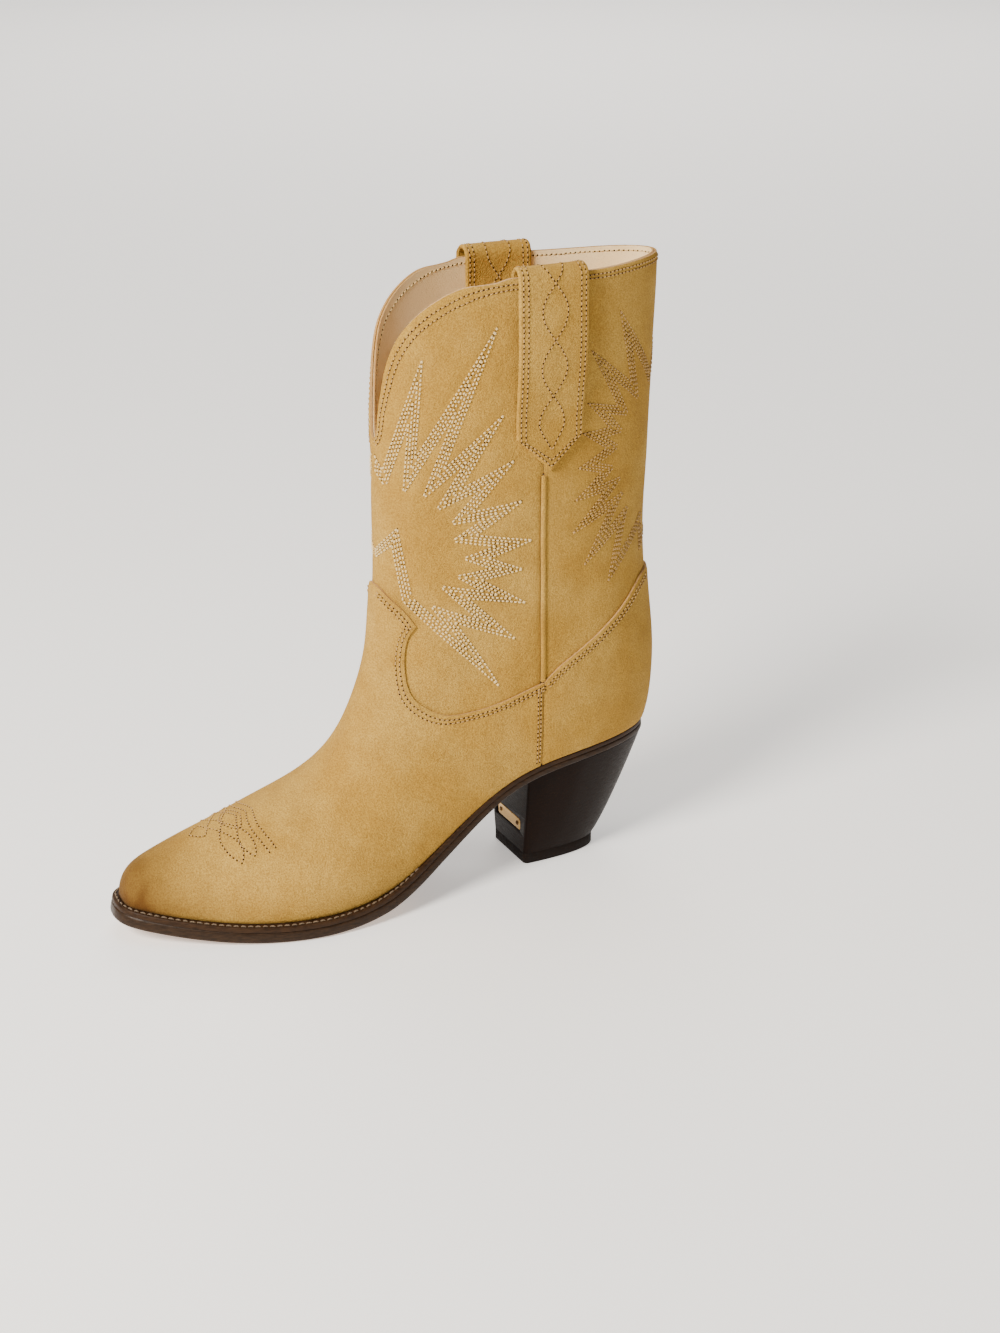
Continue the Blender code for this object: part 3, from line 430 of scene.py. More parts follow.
def panel(name, low, high, layer, keep, materials, nodes, swell=None):
    """Leather panel: the part of the surface where keep(points) is positive.

    Cells that the edge crosses are clipped exactly on it, the outer face rolls down
    towards the edge, and a wall joins the outer and inner faces.
    """
    s_grid, a_grid = np.meshgrid(section_rows(low, high),
                                 np.linspace(-1, 1, COLUMNS, endpoint=False), indexing="ij")
    rows, cols = s_grid.shape
    depth = keep(skin(s_grid, a_grid).reshape(-1, 3)).reshape(rows, cols)
    inside = depth > 0
    number = np.where(inside, np.cumsum(inside).reshape(rows, cols) - 1, -1)
    s_all, a_all, d_all = [s_grid[inside]], [a_grid[inside]], [depth[inside]]
    total, crossing = int(inside.sum()), {}
    for kind, (di, dj) in enumerate(((0, 1), (1, 0))):
        other = np.roll(inside, -dj, 1) if dj else np.vstack([inside[1:], inside[-1:]])
        i, j = np.nonzero(inside != other)
        start = inside[i, j]
        s1, a1 = s_grid[np.minimum(i + di, rows - 1), j], a_grid[i, j] + dj * 2 / COLUMNS
        s0, a0 = s_grid[i, j], a_grid[i, j]
        from_s, to_s = np.where(start, s0, s1), np.where(start, s1, s0)
        from_a, to_a = np.where(start, a0, a1), np.where(start, a1, a0)
        t = root(lambda t: -keep(skin(from_s + (to_s - from_s) * t,
                                      wrap(from_a + (to_a - from_a) * t))),
                 np.zeros(len(i)), np.ones(len(i)))
        t = np.clip(t, 0.02, 0.98)
        s_all.append(from_s + (to_s - from_s) * t)
        a_all.append(wrap(from_a + (to_a - from_a) * t))
        d_all.append(np.zeros(len(i)))
        for n, key in enumerate(zip(i.tolist(), j.tolist())):
            crossing[(kind, *key)] = total + n
        total += len(i)
    polygons, rim, base = [], [], int(inside.sum())
    corner_sets = [np.roll(inside, (-i, -j), (0, 1)) for i, j in ((0, 0), (0, 1), (1, 0), (1, 1))]
    whole, some = np.all(corner_sets, 0), np.any(corner_sets, 0)
    for i, j in zip(*(v.tolist() for v in np.nonzero(some[:-1]))):
        k = (j + 1) % cols
        corners = ((i, j), (i, k), (i + 1, k), (i + 1, j))
        if whole[i, j]:
            polygons.append([int(number[c]) for c in corners])
            continue
        edges = ((0, i, j), (1, i, k), (0, i + 1, j), (1, i, j))
        walk = []
        for corner, edge, after in zip(corners, edges, corners[1:] + corners[:1]):
            if inside[corner]:
                walk.append(int(number[corner]))
            if inside[corner] != inside[after]:
                walk.append(crossing[edge])
        if len(walk) > 2:
            polygons.append(walk)
            for p, q in zip(walk, walk[1:] + walk[:1]):
                if p >= base and q >= base:
                    rim.append((p, q))
    s_all, a_all, d_all = (np.concatenate(v) for v in (s_all, a_all, d_all))
    roll = 0.45 * (1 - np.clip(d_all / 1.5, 0, 1)) ** 2
    lift = 0 if swell is None else swell(s_all, a_all)
    outer = skin_offset(s_all, a_all, layer[0] - roll + lift)
    inner = skin_offset(s_all, a_all, np.full(s_all.shape, layer[0] - layer[1]))
    faces = [tuple(f) for f in polygons] + [tuple(v + total for v in f[::-1]) for f in polygons]
    walls = [(q, p, p + total, q + total) for p, q in rim]
    indices = [0] * len(faces) + [1] * len(walls)
    mesh = mesh_from(name, np.vstack([outer, inner]), faces + walls, indices)
    return add_piece(name, mesh, materials, nodes)


# --- materials
class Shader:
    """Small helper that adds and links nodes in one material."""

    def __init__(self, name, roughness, metallic=0.0, sheen=0.0):
        self.mat = bpy.data.materials.new(name)
        self.mat.use_nodes = True
        self.tree = self.mat.node_tree
        self.out = self.tree.nodes["Principled BSDF"]
        self.out.inputs["Roughness"].default_value = roughness
        self.out.inputs["Metallic"].default_value = metallic
        self.out.inputs["Sheen Weight"].default_value = sheen
        self.out.inputs["Sheen Roughness"].default_value = 0.55
        self.where = self.node("ShaderNodeTexCoord").outputs["Object"]

    def node(self, kind, **values):
        node = self.tree.nodes.new(kind)
        for key, value in values.items():
            setattr(node, key, value)
        return node

    def link(self, source, target):
        self.tree.links.new(source, target)

    def noise(self, scale, detail=3.0, roughness=0.55, stretch=None):
        """Noise value; scale is given per metre, stretch squeezes it along an axis."""
        node = self.node("ShaderNodeTexNoise")
        node.inputs["Scale"].default_value = scale
        node.inputs["Detail"].default_value = detail
        node.inputs["Roughness"].default_value = roughness
        where = self.where
        if stretch:
            mapping = self.node("ShaderNodeMapping")
            mapping.inputs["Scale"].default_value = stretch
            self.link(where, mapping.inputs["Vector"])
            where = mapping.outputs["Vector"]
        self.link(where, node.inputs["Vector"])
        return node.outputs["Fac"]

    def axis(self, index):
        split = self.node("ShaderNodeSeparateXYZ")
        self.link(self.where, split.inputs[0])
        return split.outputs[index]

    def span(self, value, low, high, out_low=0.0, out_high=1.0):
        node = self.node("ShaderNodeMapRange", interpolation_type="SMOOTHSTEP")
        for socket, number in zip(("From Min", "From Max", "To Min", "To Max"),
                                  (low, high, out_low, out_high)):
            node.inputs[socket].default_value = number
        self.link(value, node.inputs["Value"])
        return node.outputs["Result"]

    def math(self, operation, a, b):
        node = self.node("ShaderNodeMath", operation=operation)
        for socket, value in zip(node.inputs, (a, b)):
            if isinstance(value, (int, float)):
                socket.default_value = value
            else:
                self.link(value, socket)
        return node.outputs[0]

    def mix(self, factor, a, b):
        """Blend of two colours; each is a tuple or another node's output."""
        node = self.node("ShaderNodeMix", data_type="RGBA")
        self.link(factor, node.inputs["Factor"])
        for socket, value in ((node.inputs[6], a), (node.inputs[7], b)):
            if isinstance(value, tuple):
                socket.default_value = (*value, 1.0)
            else:
                self.link(value, socket)
        return node.outputs[2]

    def colour(self, value):
        self.link(value, self.out.inputs["Base Color"])

    def roughness(self, value):
        self.link(value, self.out.inputs["Roughness"])

    def bump(self, height, distance):
        node = self.node("ShaderNodeBump")
        node.inputs["Distance"].default_value = distance
        self.link(height, node.inputs["Height"])
        self.link(node.outputs["Normal"], self.out.inputs["Normal"])


SAND = (0.455, 0.257, 0.042)
SAND_LIGHT = (0.60, 0.385, 0.088)
SAND_DARK = (0.19, 0.078, 0.010)
# colour of the darker toe and bottom edge: partly burnished leather, partly painted shade
BURNISH_AND_SHADE = (0.085, 0.032, 0.006)


def suede_material(name="suede", burnish_and_shade=False):
    """Brushed suede: fine nap, cloudy tone, toe and bottom edge darkened partly by burnish,
    partly as painted shade.
    """
    m = Shader(name, 0.92, sheen=0.08)
    m.out.inputs["Sheen Tint"].default_value = (1.0, 0.75, 0.42, 1.0)
    m.out.inputs["Specular IOR Level"].default_value = 0.08
    clouds = m.span(m.noise(26, 3.0, 0.55), 0.36, 0.66)
    patches = m.span(m.noise(85, 4.0, 0.6), 0.38, 0.68)
    nap = m.span(m.noise(1350, 3.0, 0.8), 0.38, 0.64)
    base = m.mix(m.math("MULTIPLY", clouds, 0.55), SAND, SAND_LIGHT)
    base = m.mix(m.math("MULTIPLY", patches, 0.16), base, SAND_DARK)
    base = m.mix(m.math("MULTIPLY", nap, 0.55), base, SAND_DARK)
    if burnish_and_shade:
        # painted shade mixed with burnish: darker towards the toe tip and along the bottom edge
        # by the welt
        toe = m.span(m.axis(1), -0.1375, -0.088, 1.0, 0.0)
        low = m.span(m.axis(2), 0.013, 0.030, 0.25, 0.0)
        dark = m.math("MULTIPLY", m.math("ADD", toe, low),
                      m.span(m.noise(60, 2.0), 0.3, 0.7, 0.75, 0.95))
        base = m.mix(dark, base, BURNISH_AND_SHADE)
    m.colour(base)
    m.roughness(m.span(nap, 0.0, 1.0, 0.98, 0.86))
    grain = m.math("ADD", m.noise(1250, 2.0, 0.75), m.math("MULTIPLY", m.noise(300, 3.0), 0.9))
    grain = m.math("ADD", grain, m.math("MULTIPLY", m.noise(34, 2.0), 5.0))
    m.bump(grain, 0.00042)
    return m.mat


def raw_edge_and_shade_material():
    m = Shader("leather_raw_edge_and_painted_shade", 0.9)
    fibre = m.noise(900, 4.0, 0.7, stretch=(1, 1, 3))
    # cut-edge colour: partly the raw leather's own tone, partly painted shade along the panel
    # edges
    m.colour(m.mix(m.span(fibre, 0.3, 0.7), (0.34, 0.17, 0.05), (0.52, 0.30, 0.10)))
    m.bump(fibre, 0.0002)
    return m.mat


def lining_material():
    """Smooth pale lining leather with pores and faint wrinkles, lightened further as painted
    light for the shaded inside.
    """
    m = Shader("lining_leather", 0.55, sheen=0.08)
    pores = m.noise(1500, 3.0, 0.6)
    cloud = m.span(m.noise(22, 3.0), 0.35, 0.68)
    # pale leather tone, raised further as painted light because the lining sits in shade
    base = m.mix(cloud, (0.84, 0.60, 0.30), (0.92, 0.70, 0.40))
    m.colour(m.mix(m.span(pores, 0.3, 0.45, 0.35, 0.0), base, (0.52, 0.32, 0.13)))
    m.roughness(m.span(cloud, 0.0, 1.0, 0.62, 0.48))
    m.bump(m.math("ADD", pores, m.noise(160, 3.0)), 0.00016)
    return m.mat


def polished_leather(name, dark, light, roughness, streak, shine=0.12):
    """Stained and waxed sole or heel leather with fine streaks along the edge."""
    m = Shader(name, roughness)
    m.out.inputs["Specular IOR Level"].default_value = shine
    fibre = m.noise(260, 5.0, 0.65, stretch=streak)
    worn = m.span(m.noise(60, 4.0, 0.6), 0.42, 0.72)
    base = m.mix(m.span(fibre, 0.3, 0.72), dark, light)
    m.colour(m.mix(m.math("MULTIPLY", worn, 0.35), base, light))
    m.roughness(m.span(fibre, 0.3, 0.7, roughness - 0.06, roughness + 0.12))
    m.bump(m.math("ADD", fibre, m.noise(1400, 2.0)), 0.00009)
    return m.mat


def outsole_material():
    """Dark edge, and a natural leather face below that is scuffed where it treads."""
    m = Shader("outsole_leather", 0.48)
    m.out.inputs["Specular IOR Level"].default_value = 0.16
    fibre = m.noise(240, 5.0, 0.65, stretch=(1, 1, 6))
    edge = m.mix(m.span(fibre, 0.3, 0.72), (0.015, 0.0070, 0.0028), (0.036, 0.0175, 0.0072))
    face = m.mix(m.span(m.noise(70, 5.0, 0.65), 0.35, 0.7), (0.34, 0.19, 0.085),
                 (0.45, 0.27, 0.13))
    geometry = m.node("ShaderNodeNewGeometry")
    split = m.node("ShaderNodeSeparateXYZ")
    m.link(geometry.outputs["Normal"], split.inputs[0])
    below = m.span(split.outputs[2], -0.93, -0.80, 1.0, 0.0)
    m.colour(m.mix(below, edge, face))
    m.roughness(m.span(m.noise(90, 3.0), 0.3, 0.7, 0.34, 0.55))
    m.bump(m.math("ADD", fibre, m.noise(900, 2.0)), 0.0001)
    return m.mat


def thread_material(name, dark, light):
    """Twisted thread: fine diagonal ply marks and slight colour change."""
    m = Shader(name, 0.65, sheen=0.15)
    wave = m.node("ShaderNodeTexWave", wave_type="BANDS", bands_direction="DIAGONAL")
    wave.inputs["Scale"].default_value = 620
    wave.inputs["Distortion"].default_value = 1.5
    m.link(m.where, wave.inputs["Vector"])
    m.colour(m.mix(wave.outputs["Fac"], dark, light))
    m.bump(wave.outputs["Fac"], 0.00012)
    return m.mat


def brass_material():
    m = Shader("brass", 0.3, metallic=1.0)
    scratch = m.noise(300, 4.0, 0.7, stretch=(8, 1, 1))
    m.colour(m.mix(m.span(scratch, 0.3, 0.7), (0.42, 0.24, 0.065), (0.60, 0.38, 0.13)))
    m.roughness(m.span(scratch, 0.3, 0.7, 0.22, 0.42))
    m.bump(scratch, 0.00005)
    return m.mat


def plain_material(name, dark, light, scale, roughness, metallic=0.0, bump=0.0003):
    """Mottled material for the pieces inside the boot and the rubber lift."""
    m = Shader(name, roughness, metallic=metallic)
    m.out.inputs["Specular IOR Level"].default_value = 0.15
    grain = m.noise(scale, 4.0, 0.65)
    m.colour(m.mix(m.span(grain, 0.3, 0.7), dark, light))
    m.roughness(m.span(grain, 0.3, 0.7, max(0.05, roughness - 0.1), min(1.0, roughness + 0.1)))
    m.bump(grain, bump)
    return m.mat


SUEDE = suede_material()
SUEDE_TOE = suede_material("suede_burnish_and_painted_shade", burnish_and_shade=True)
RAW_EDGE_AND_SHADE = raw_edge_and_shade_material()
LINING_LEATHER = lining_material()
WELT_LEATHER = polished_leather("welt_leather", (0.018, 0.0080, 0.0030), (0.042, 0.0195, 0.0078),
                                0.44, (1, 1, 4))
HEEL_LEATHER = polished_leather("heel_leather", (0.0060, 0.0022, 0.0010),
                                (0.0085, 0.0032, 0.0014), 0.34, (1, 1, 5), 0.07)
SOLE_LEATHER = outsole_material()
LIFT_RUBBER = plain_material("lift_rubber", (0.0060, 0.0030, 0.0018), (0.010, 0.0050, 0.0030),
                             500, 0.7)
CREAM_THREAD = thread_material("cream_thread", (0.62, 0.42, 0.15), (0.86, 0.65, 0.30))
TAN_THREAD = thread_material("tan_thread", (0.36, 0.19, 0.045), (0.56, 0.335, 0.095))
WELT_THREAD = thread_material("welt_thread_waxed", (0.085, 0.050, 0.023), (0.18, 0.115, 0.058))
# dark colour of the needle-hole discs: painted shade of the holes' pits
NEEDLE_HOLE_SHADE = plain_material("needle_hole_painted_shade", (0.018, 0.006, 0.001), (0.05, 0.018, 0.004), 1500, 0.9)
BRASS = brass_material()
# dark brass of the screw heads: painted shade
SCREW_BRASS = plain_material("screw_brass_painted_shade", (0.10, 0.05, 0.018), (0.20, 0.11, 0.04), 900, 0.45,
                             metallic=1.0)


# --- upper
def side_keep(outline):
    return lambda p: depth_inside(p[:, 1:3], outline)


def feather_run(y0, y1):
    y = np.linspace(y0, y1, 60)
    return np.stack([y, feather_z(y) + 0.05], 1)


def vamp_outline():
    end = SEAM_Y - GAP / 2
    edge = np.vstack([through(TONGUE)[:-1], through(SCOOP)])[::-1]
    edge[:, 0] = np.minimum(edge[:, 0], end)
    return np.vstack([feather_run(-150, end), edge, [(-150, 158)]])


def counter_outline():
    start = SEAM_Y + GAP / 2
    edge = through(COUNTER_TOP)[::-1]
    edge[:, 0] = np.maximum(edge[:, 0], start)
    return np.vstack([feather_run(start, 150), edge])


def dip_outline():
    half = through(FRONT_DIP, 1.0)
    return np.vstack([half[1:][::-1] * (-1, 1), half])


DIP = dip_outline()


def shaft_front_keep(outline):
    """Side outline less the scalloped dip, which is drawn in front view."""
    def keep(p):
        depth = depth_inside(p[:, 1:3], outline)
        shifted = p[:, (0, 2)] - (MIDDLE_X, 0)
        front = p[:, 1] < SEAM_Y - 8
        depth[front] = np.minimum(depth[front], -depth_inside(shifted[front], DIP))
        return depth
    return keep


def quilting(star_rows, reach=5.0, amount=0.45):
    """Leather drawn down along stitch rows, given as (s, a) polylines."""
    points = np.vstack([skin(s, a) for s, a in star_rows])
    cells = {}
    for n, cell in enumerate(np.floor(points / reach).astype(int).tolist()):
        cells.setdefault(tuple(cell), []).append(n)
    around = [(i, j, k) for i in (-1, 0, 1) for j in (-1, 0, 1) for k in (-1, 0, 1)]

    def lift(s, a):
        p = skin(s, a)
        out = np.zeros(len(p))
        for n, (x, y, z) in enumerate(np.floor(p / reach).astype(int).tolist()):
            close = [m for i, j, k in around for m in cells.get((x + i, y + j, z + k), ())]
            if close:
                gap = np.min(np.sum((points[close] - p[n]) ** 2, 1)) ** 0.5
                out[n] = -amount * max(0.0, 1 - gap / reach) ** 1.5
        return out
    return lift


def make_upper(front_rows, back_rows):
    panel("vamp_leather", 0, 15.4, OUTER, side_keep(vamp_outline()),
          (SUEDE_TOE, RAW_EDGE_AND_SHADE), ("vamp",))
    panel("counter_leather", 8.8, 15.6, OUTER, side_keep(counter_outline()),
          (SUEDE, RAW_EDGE_AND_SHADE), ("counter",))
    slot, shut = SEAM_Y - PIPING_SLOT, SEAM_Y - GAP / 2
    foot = through(FRONT_FOOT)
    foot[:, 0] = np.minimum(foot[:, 0], slot)
    seam = [(slot, PIPING_TOP + 0.6), (shut, PIPING_TOP + 0.6), (shut, RIM_Z), (-30, RIM_Z)]
    panel("shaft_front_leather", 8.8, TOP, SHAFT, shaft_front_keep(np.vstack([foot, seam])),
          (SUEDE, RAW_EDGE_AND_SHADE), ("shaft_front",), quilting(front_rows))
    slot, shut = SEAM_Y + PIPING_SLOT, SEAM_Y + GAP / 2
    foot = through(BACK_FOOT)[::-1]
    foot[:, 0] = np.maximum(foot[:, 0], slot)
    rim = through(RIM_BACK)
    rim[:, 0] = np.maximum(rim[:, 0], shut)
    seam = [(slot, PIPING_TOP + 0.6), (shut, PIPING_TOP + 0.6)]
    panel("shaft_back_leather", 8.8, TOP, SHAFT, side_keep(np.vstack([foot, seam, rim])),
          (SUEDE, RAW_EDGE_AND_SHADE), ("shaft_back",), quilting(back_rows, 4.0, 0.3))


def make_linings():
    shut = SEAM_Y - GAP / 2
    front = [(-40, 100.3), (shut, 81.2), (shut, RIM_Z), (-40, RIM_Z)]
    panel("shaft_lining_front_leather", 8.8, TOP, LINING, shaft_front_keep(np.array(front)),
          (LINING_LEATHER, RAW_EDGE_AND_SHADE), ("shaft_lining_front",))
    start = SEAM_Y + GAP / 2
    rim = through(RIM_BACK)[::-1]
    rim[:, 0] = np.maximum(rim[:, 0], start)
    panel("shaft_lining_back_leather", 8.8, TOP, LINING,
          side_keep(np.vstack([feather_run(start, 150), rim])),
          (LINING_LEATHER, RAW_EDGE_AND_SHADE), ("shaft_lining_back",))


def make_piping():
    """Raised strip that covers each side seam, from the strap down to the vamp."""
    z = np.linspace(100.8, PIPING_TOP, 60)
    s, a = section_at(z, np.full(z.shape, SEAM_Y))
    turn = np.linspace(0, 2 * np.pi, 14, endpoint=False)
    for side, name in ((1, "inner"), (-1, "outer")):
        middle = skin_offset(s, a * side, np.full(z.shape, 0.05))
        normal = skin_normal(s, a * side)
        along = np.gradient(middle, axis=0)
        across = np.cross(normal, along)
        across /= np.linalg.norm(across, axis=1, keepdims=True)
        rings = middle[:, None] + across[:, None] * (1.32 * np.cos(turn))[:, None] \
            + normal[:, None] * (0.95 * np.sin(turn))[:, None]
        add_piece(f"side_piping_{name}_cord", sweep(f"piping_{name}", rings), (SUEDE,),
                  (f"side_piping_{name}",))


# --- pull straps
def strap_path():
    """(offset from the shaft, height) down the middle of a strap, outer end first."""
    outer, inner, crest = 4.6, -4.1, 291.0
    leg = [(1.2, STRAP_CORNER_Z), (1.2, 226), (1.7, 233), (2.8, 241), (4.0, 252),
           (outer, 264), (outer, 278), (outer, crest)]
    half, rise = (outer - inner) / 2, STRAP_TOP_Z - STRAP_THICK / 2 - crest
    arch = [((outer + inner) / 2 + half * math.cos(math.radians(t)),
             crest + rise * math.sin(math.radians(t))) for t in range(30, 180, 30)]
    return leg + arch + [(inner, crest), (inner, 280), (inner, 266), (inner, 254)]


STRAP_ACROSS = np.linspace(-1, 1, 41)


def strap_grid(side):
    """Middle surface of a strap and its normals; the first rows slant to the point."""
    path = through(strap_path(), 1.3)
    rows = []
    for k in range(13):
        low = STRAP_CORNER_Z - STRAP_POINT * (1 - np.abs(STRAP_ACROSS))
        rows.append((np.full(STRAP_ACROSS.shape, 1.2), low + (225.0 - low) * k / 13))
    for d, z in path:
        if z >= 225.0 or d < 0:
            rows.append((np.full(STRAP_ACROSS.shape, d), np.full(STRAP_ACROSS.shape, z)))
    grid = []
    for d, z in rows:
        s, a = section_at(np.minimum(z, 299.0), STRAP_Y + STRAP_HALF * STRAP_ACROSS)
        flat = skin(s, a * side) + skin_normal(s, a * side) * d[:, None]
        flat[:, 2] = z
        grid.append(flat)
    grid = np.array(grid)
    normal = np.cross(np.gradient(grid, axis=1), np.gradient(grid, axis=0))
    normal /= np.linalg.norm(normal, axis=-1, keepdims=True)
    return grid, normal * side


def make_strap(side, name):
    grid, normal = strap_grid(side)
    rows, cols = grid.shape[:2]
    length = travel(grid[:, cols // 2])
    to_edge = np.minimum((1 - np.abs(STRAP_ACROSS))[None] * STRAP_HALF,
                         np.minimum(length, length[-1] - length)[:, None])
    thick = STRAP_THICK / 2 * np.sqrt(1 - (1 - np.clip(to_edge / 0.9, 0, 1)) ** 2)
    thick = np.maximum(thick, 0.02)
    outer = grid + normal * thick[..., None]
    inner = grid - normal * thick[..., None]
    faces = grid_faces(rows, cols)
    total = rows * cols
    back = [tuple(v + total for v in f[::-1]) for f in faces]
    border = list(range(cols)) + [i * cols + cols - 1 for i in range(1, rows)] \
        + [(rows - 1) * cols + j for j in range(cols - 2, -1, -1)] \
        + [i * cols for i in range(rows - 2, 0, -1)]
    walls = [(q, p, p + total, q + total) for p, q in zip(border, border[1:] + border[:1])]
    mesh = mesh_from(name, np.vstack([outer.reshape(-1, 3), inner.reshape(-1, 3)]),
                     faces + back + walls, weld=False)
    face_out(mesh)
    add_piece(name + "_leather", mesh, (SUEDE,), (name,))
    return outer, normal, length


# --- stitches
RNG = np.random.default_rng(7)


def resample(points, step):
    """Points at equal steps along a polyline, with the tangent at each."""
    length = travel(points)
    count = max(2, int(round(length[-1] / step)))
    at = (np.arange(count) + 0.5) / count * length[-1]
    out = np.stack([np.interp(at, length, v) for v in points.T], 1)
    ahead = np.stack([np.interp(at + 0.3, length, v) for v in points.T], 1)
    behind = np.stack([np.interp(at - 0.3, length, v) for v in points.T], 1)
    return out, ahead - behind


def capsule(sides=6):
    """Unit stitch: rings along x with pointed ends; returns vertices and faces."""
    rings = ((-0.78, 0.72), (-0.3, 1.0), (0.3, 1.0), (0.78, 0.72))
    turn = np.linspace(0, 2 * np.pi, sides, endpoint=False)
    verts = [(-1.0, 0, 0)]
    for x, r in rings:
        verts += [(x, r * math.cos(t), r * math.sin(t)) for t in turn]
    verts.append((1.0, 0, 0))
    faces = [(0, 1 + (k + 1) % sides, 1 + k) for k in range(sides)]
    for n in range(len(rings) - 1):
        for k in range(sides):
            a, b = 1 + n * sides + k, 1 + n * sides + (k + 1) % sides
            faces.append((a, b, b + sides, a + sides))
    last, tip = 1 + (len(rings) - 1) * sides, len(verts) - 1
    faces += [(last + k, last + (k + 1) % sides, tip) for k in range(sides)]
    return np.array(verts), faces


def lens(sides=6):
    """Unit needle hole: a shallow closed disc, coloured dark as painted shade of the hole."""
    turn = np.linspace(0, 2 * np.pi, sides, endpoint=False)
    verts = [(math.cos(t), math.sin(t), 0) for t in turn] + [(0, 0, 1), (0, 0, -1)]
    faces = [(k, (k + 1) % sides, sides) for k in range(sides)]
    faces += [((k + 1) % sides, k, sides + 1) for k in range(sides)]
    return np.array(verts), faces


def stitching(name, rows, thread, pitch=2.5, length=1.75, radius=0.34,
              hole=0.52, nodes=()):
    """Rows of stitches, each row a (points, normals) pair, with holes between them."""
    body, body_faces = capsule()
    dot, dot_faces = lens()
    verts, faces, indices, total = [], [], [], 0
    for points, normals in rows:
        centre, tangent = resample(points, pitch)
        spot = np.argmin(((centre[:, None] - points[None]) ** 2).sum(-1), 1)
        normal = normals[spot]
        tangent -= normal * (tangent * normal).sum(1, keepdims=True)
        tangent /= np.linalg.norm(tangent, axis=1, keepdims=True) + 1e-9
        side = np.cross(normal, tangent)
        wobble = RNG.normal(0, 1, (len(centre), 3))
        tangent = tangent + side * 0.06 * wobble[:, :1]
        half = length / 2 * (1 + 0.07 * wobble[:, 1])
        height = radius * 0.45 * (1 + 0.12 * wobble[:, 2])
        bend = (1 - body[:, 0] ** 2) * radius * 0.9 - radius * 0.35
        shape = centre[:, None] + tangent[:, None] * (half[:, None] * body[:, 0])[..., None] \
            + side[:, None] * (radius * body[:, 1])[:, None] \
            + normal[:, None] * (radius * 0.8 * body[:, 2] + bend
                                 + height[:, None])[..., None]
        gaps = centre + tangent * (half + (pitch - length) / 2)[:, None]
        # dark discs at the needle holes: painted shade of the holes' pits
        marks = gaps[:, None] + tangent[:, None] * (hole * dot[:, 0])[:, None] \
            + side[:, None] * (hole * 0.85 * dot[:, 1])[:, None] \
            + normal[:, None] * (0.10 * dot[:, 2] + 0.03)[:, None]
        for block, pattern, index in ((shape, body_faces, 0), (marks, dot_faces, 1)):
            verts.append(block.reshape(-1, 3))
            for n in range(len(block)):
                at = total + n * block.shape[1]
                faces += [tuple(v + at for v in f) for f in pattern]
            indices += [index] * (len(pattern) * len(block))
            total += block.shape[0] * block.shape[1]
    mesh = mesh_from(name, np.vstack(verts), faces, indices, weld=False)
    return add_piece(name, mesh, (thread, NEEDLE_HOLE_SHADE), nodes)


def on_surface(s, a, d, step=1.0):
    """Finely sampled points and normals of a (s, a) polyline at distance d."""
    p = skin(s, a)
    length = travel(p)
    at = np.linspace(0, length[-1], max(3, int(length[-1] / step)))
    s, a = np.interp(at, length, s), np.interp(at, length, a)
    return skin_offset(s, a, np.full(s.shape, d)), skin_normal(s, a)


def both_sides(s, a, d, inward=1):
    """The same row on the inner and the outer side of the boot."""
    rows = [on_surface(s, a * side, d) for side in (1, -1)]
    return [(points, normals * inward) for points, normals in rows]


def densify(points, step=2.0):
    p = np.asarray(points, float)
    out = [p[:1]]
    for a, b in zip(p, p[1:]):
        count = max(1, int(np.linalg.norm(b - a) / step))
        out.append(a + (b - a) * (np.arange(1, count + 1) / count)[:, None])
    return np.vstack(out)


def cross(a, b):
    return a[0] * b[1] - a[1] * b[0]


def leg_line(tip, valley, width, turn):
    """Unit direction from a ray's tip along one leg of a band that is width across."""
    reach = valley - tip
    lean = turn * math.asin(min(0.9, width / np.linalg.norm(reach)))
    along = math.atan2(reach[1], reach[0]) + lean
    return np.array([math.cos(along), math.sin(along)])


def meet(p, u, q, v):
    """Crossing of two lines, each a point and a direction."""
    return p + u * cross(q - p, v) / cross(u, v)


STAR_PITCH = 2.1              # distance between the stitches of a sunburst row
STAR_ROWS = 4                 # rows in a sunburst band


def star_paths(tips, valleys, rows, spacing, back):
    """Sunburst bands: parallel zigzags whose rows keep one spacing, mirrored on both sides.

    The outermost row runs through the tips and the innermost through the valleys.
    """
    tips = [np.array(t, float) for t in tips]
    valleys = [np.array(v, float) for v in valleys]
    valleys = [valleys[0] * (-1, 1)] + valleys + [valleys[-1] * (-1, 1)]
    width = spacing * (rows - 1)
    legs = []
    for n, tip in enumerate(tips):
        before, after = (leg_line(tip, valleys[n + k], width, turn)
                         for k, turn in ((0, -1), (1, 1)))
        legs.append((before, after))
    paths = []
    for row in range(rows):
        shift = row * spacing
        points = [[tip + np.array([-u[1], u[0]]) * shift * turn for u, turn in zip(pair, (1, -1))]
                  for tip, pair in zip(tips, legs)]
        tops = [meet(a, pair[0], b, pair[1]) for (a, b), pair in zip(points, legs)]
        for n, (tip, pair) in enumerate(zip(tips, legs)):
            for leg in (0, 1):
                other = n - 1 if leg == 0 else n + 1
                if 0 <= other < len(tips):
                    foot = meet(points[n][leg], pair[leg], points[other][1 - leg],
                                legs[other][1 - leg])
                else:
                    foot = valleys[n + leg]
                top = tops[n]
                if np.dot(foot - top, pair[leg]) < 2 * spacing:
                    continue
                lead = pair[leg] * STAR_PITCH / 2 * (row % 2)
                line = densify([foot - lead, top])
                line = line[line[:, 0] > 0.6]
                if len(line) < 3:
                    continue
                s, a = at_height(line[:, 0], line[:, 1], back)
                paths += [(s, a * side) for side in (1, -1)]
    return paths


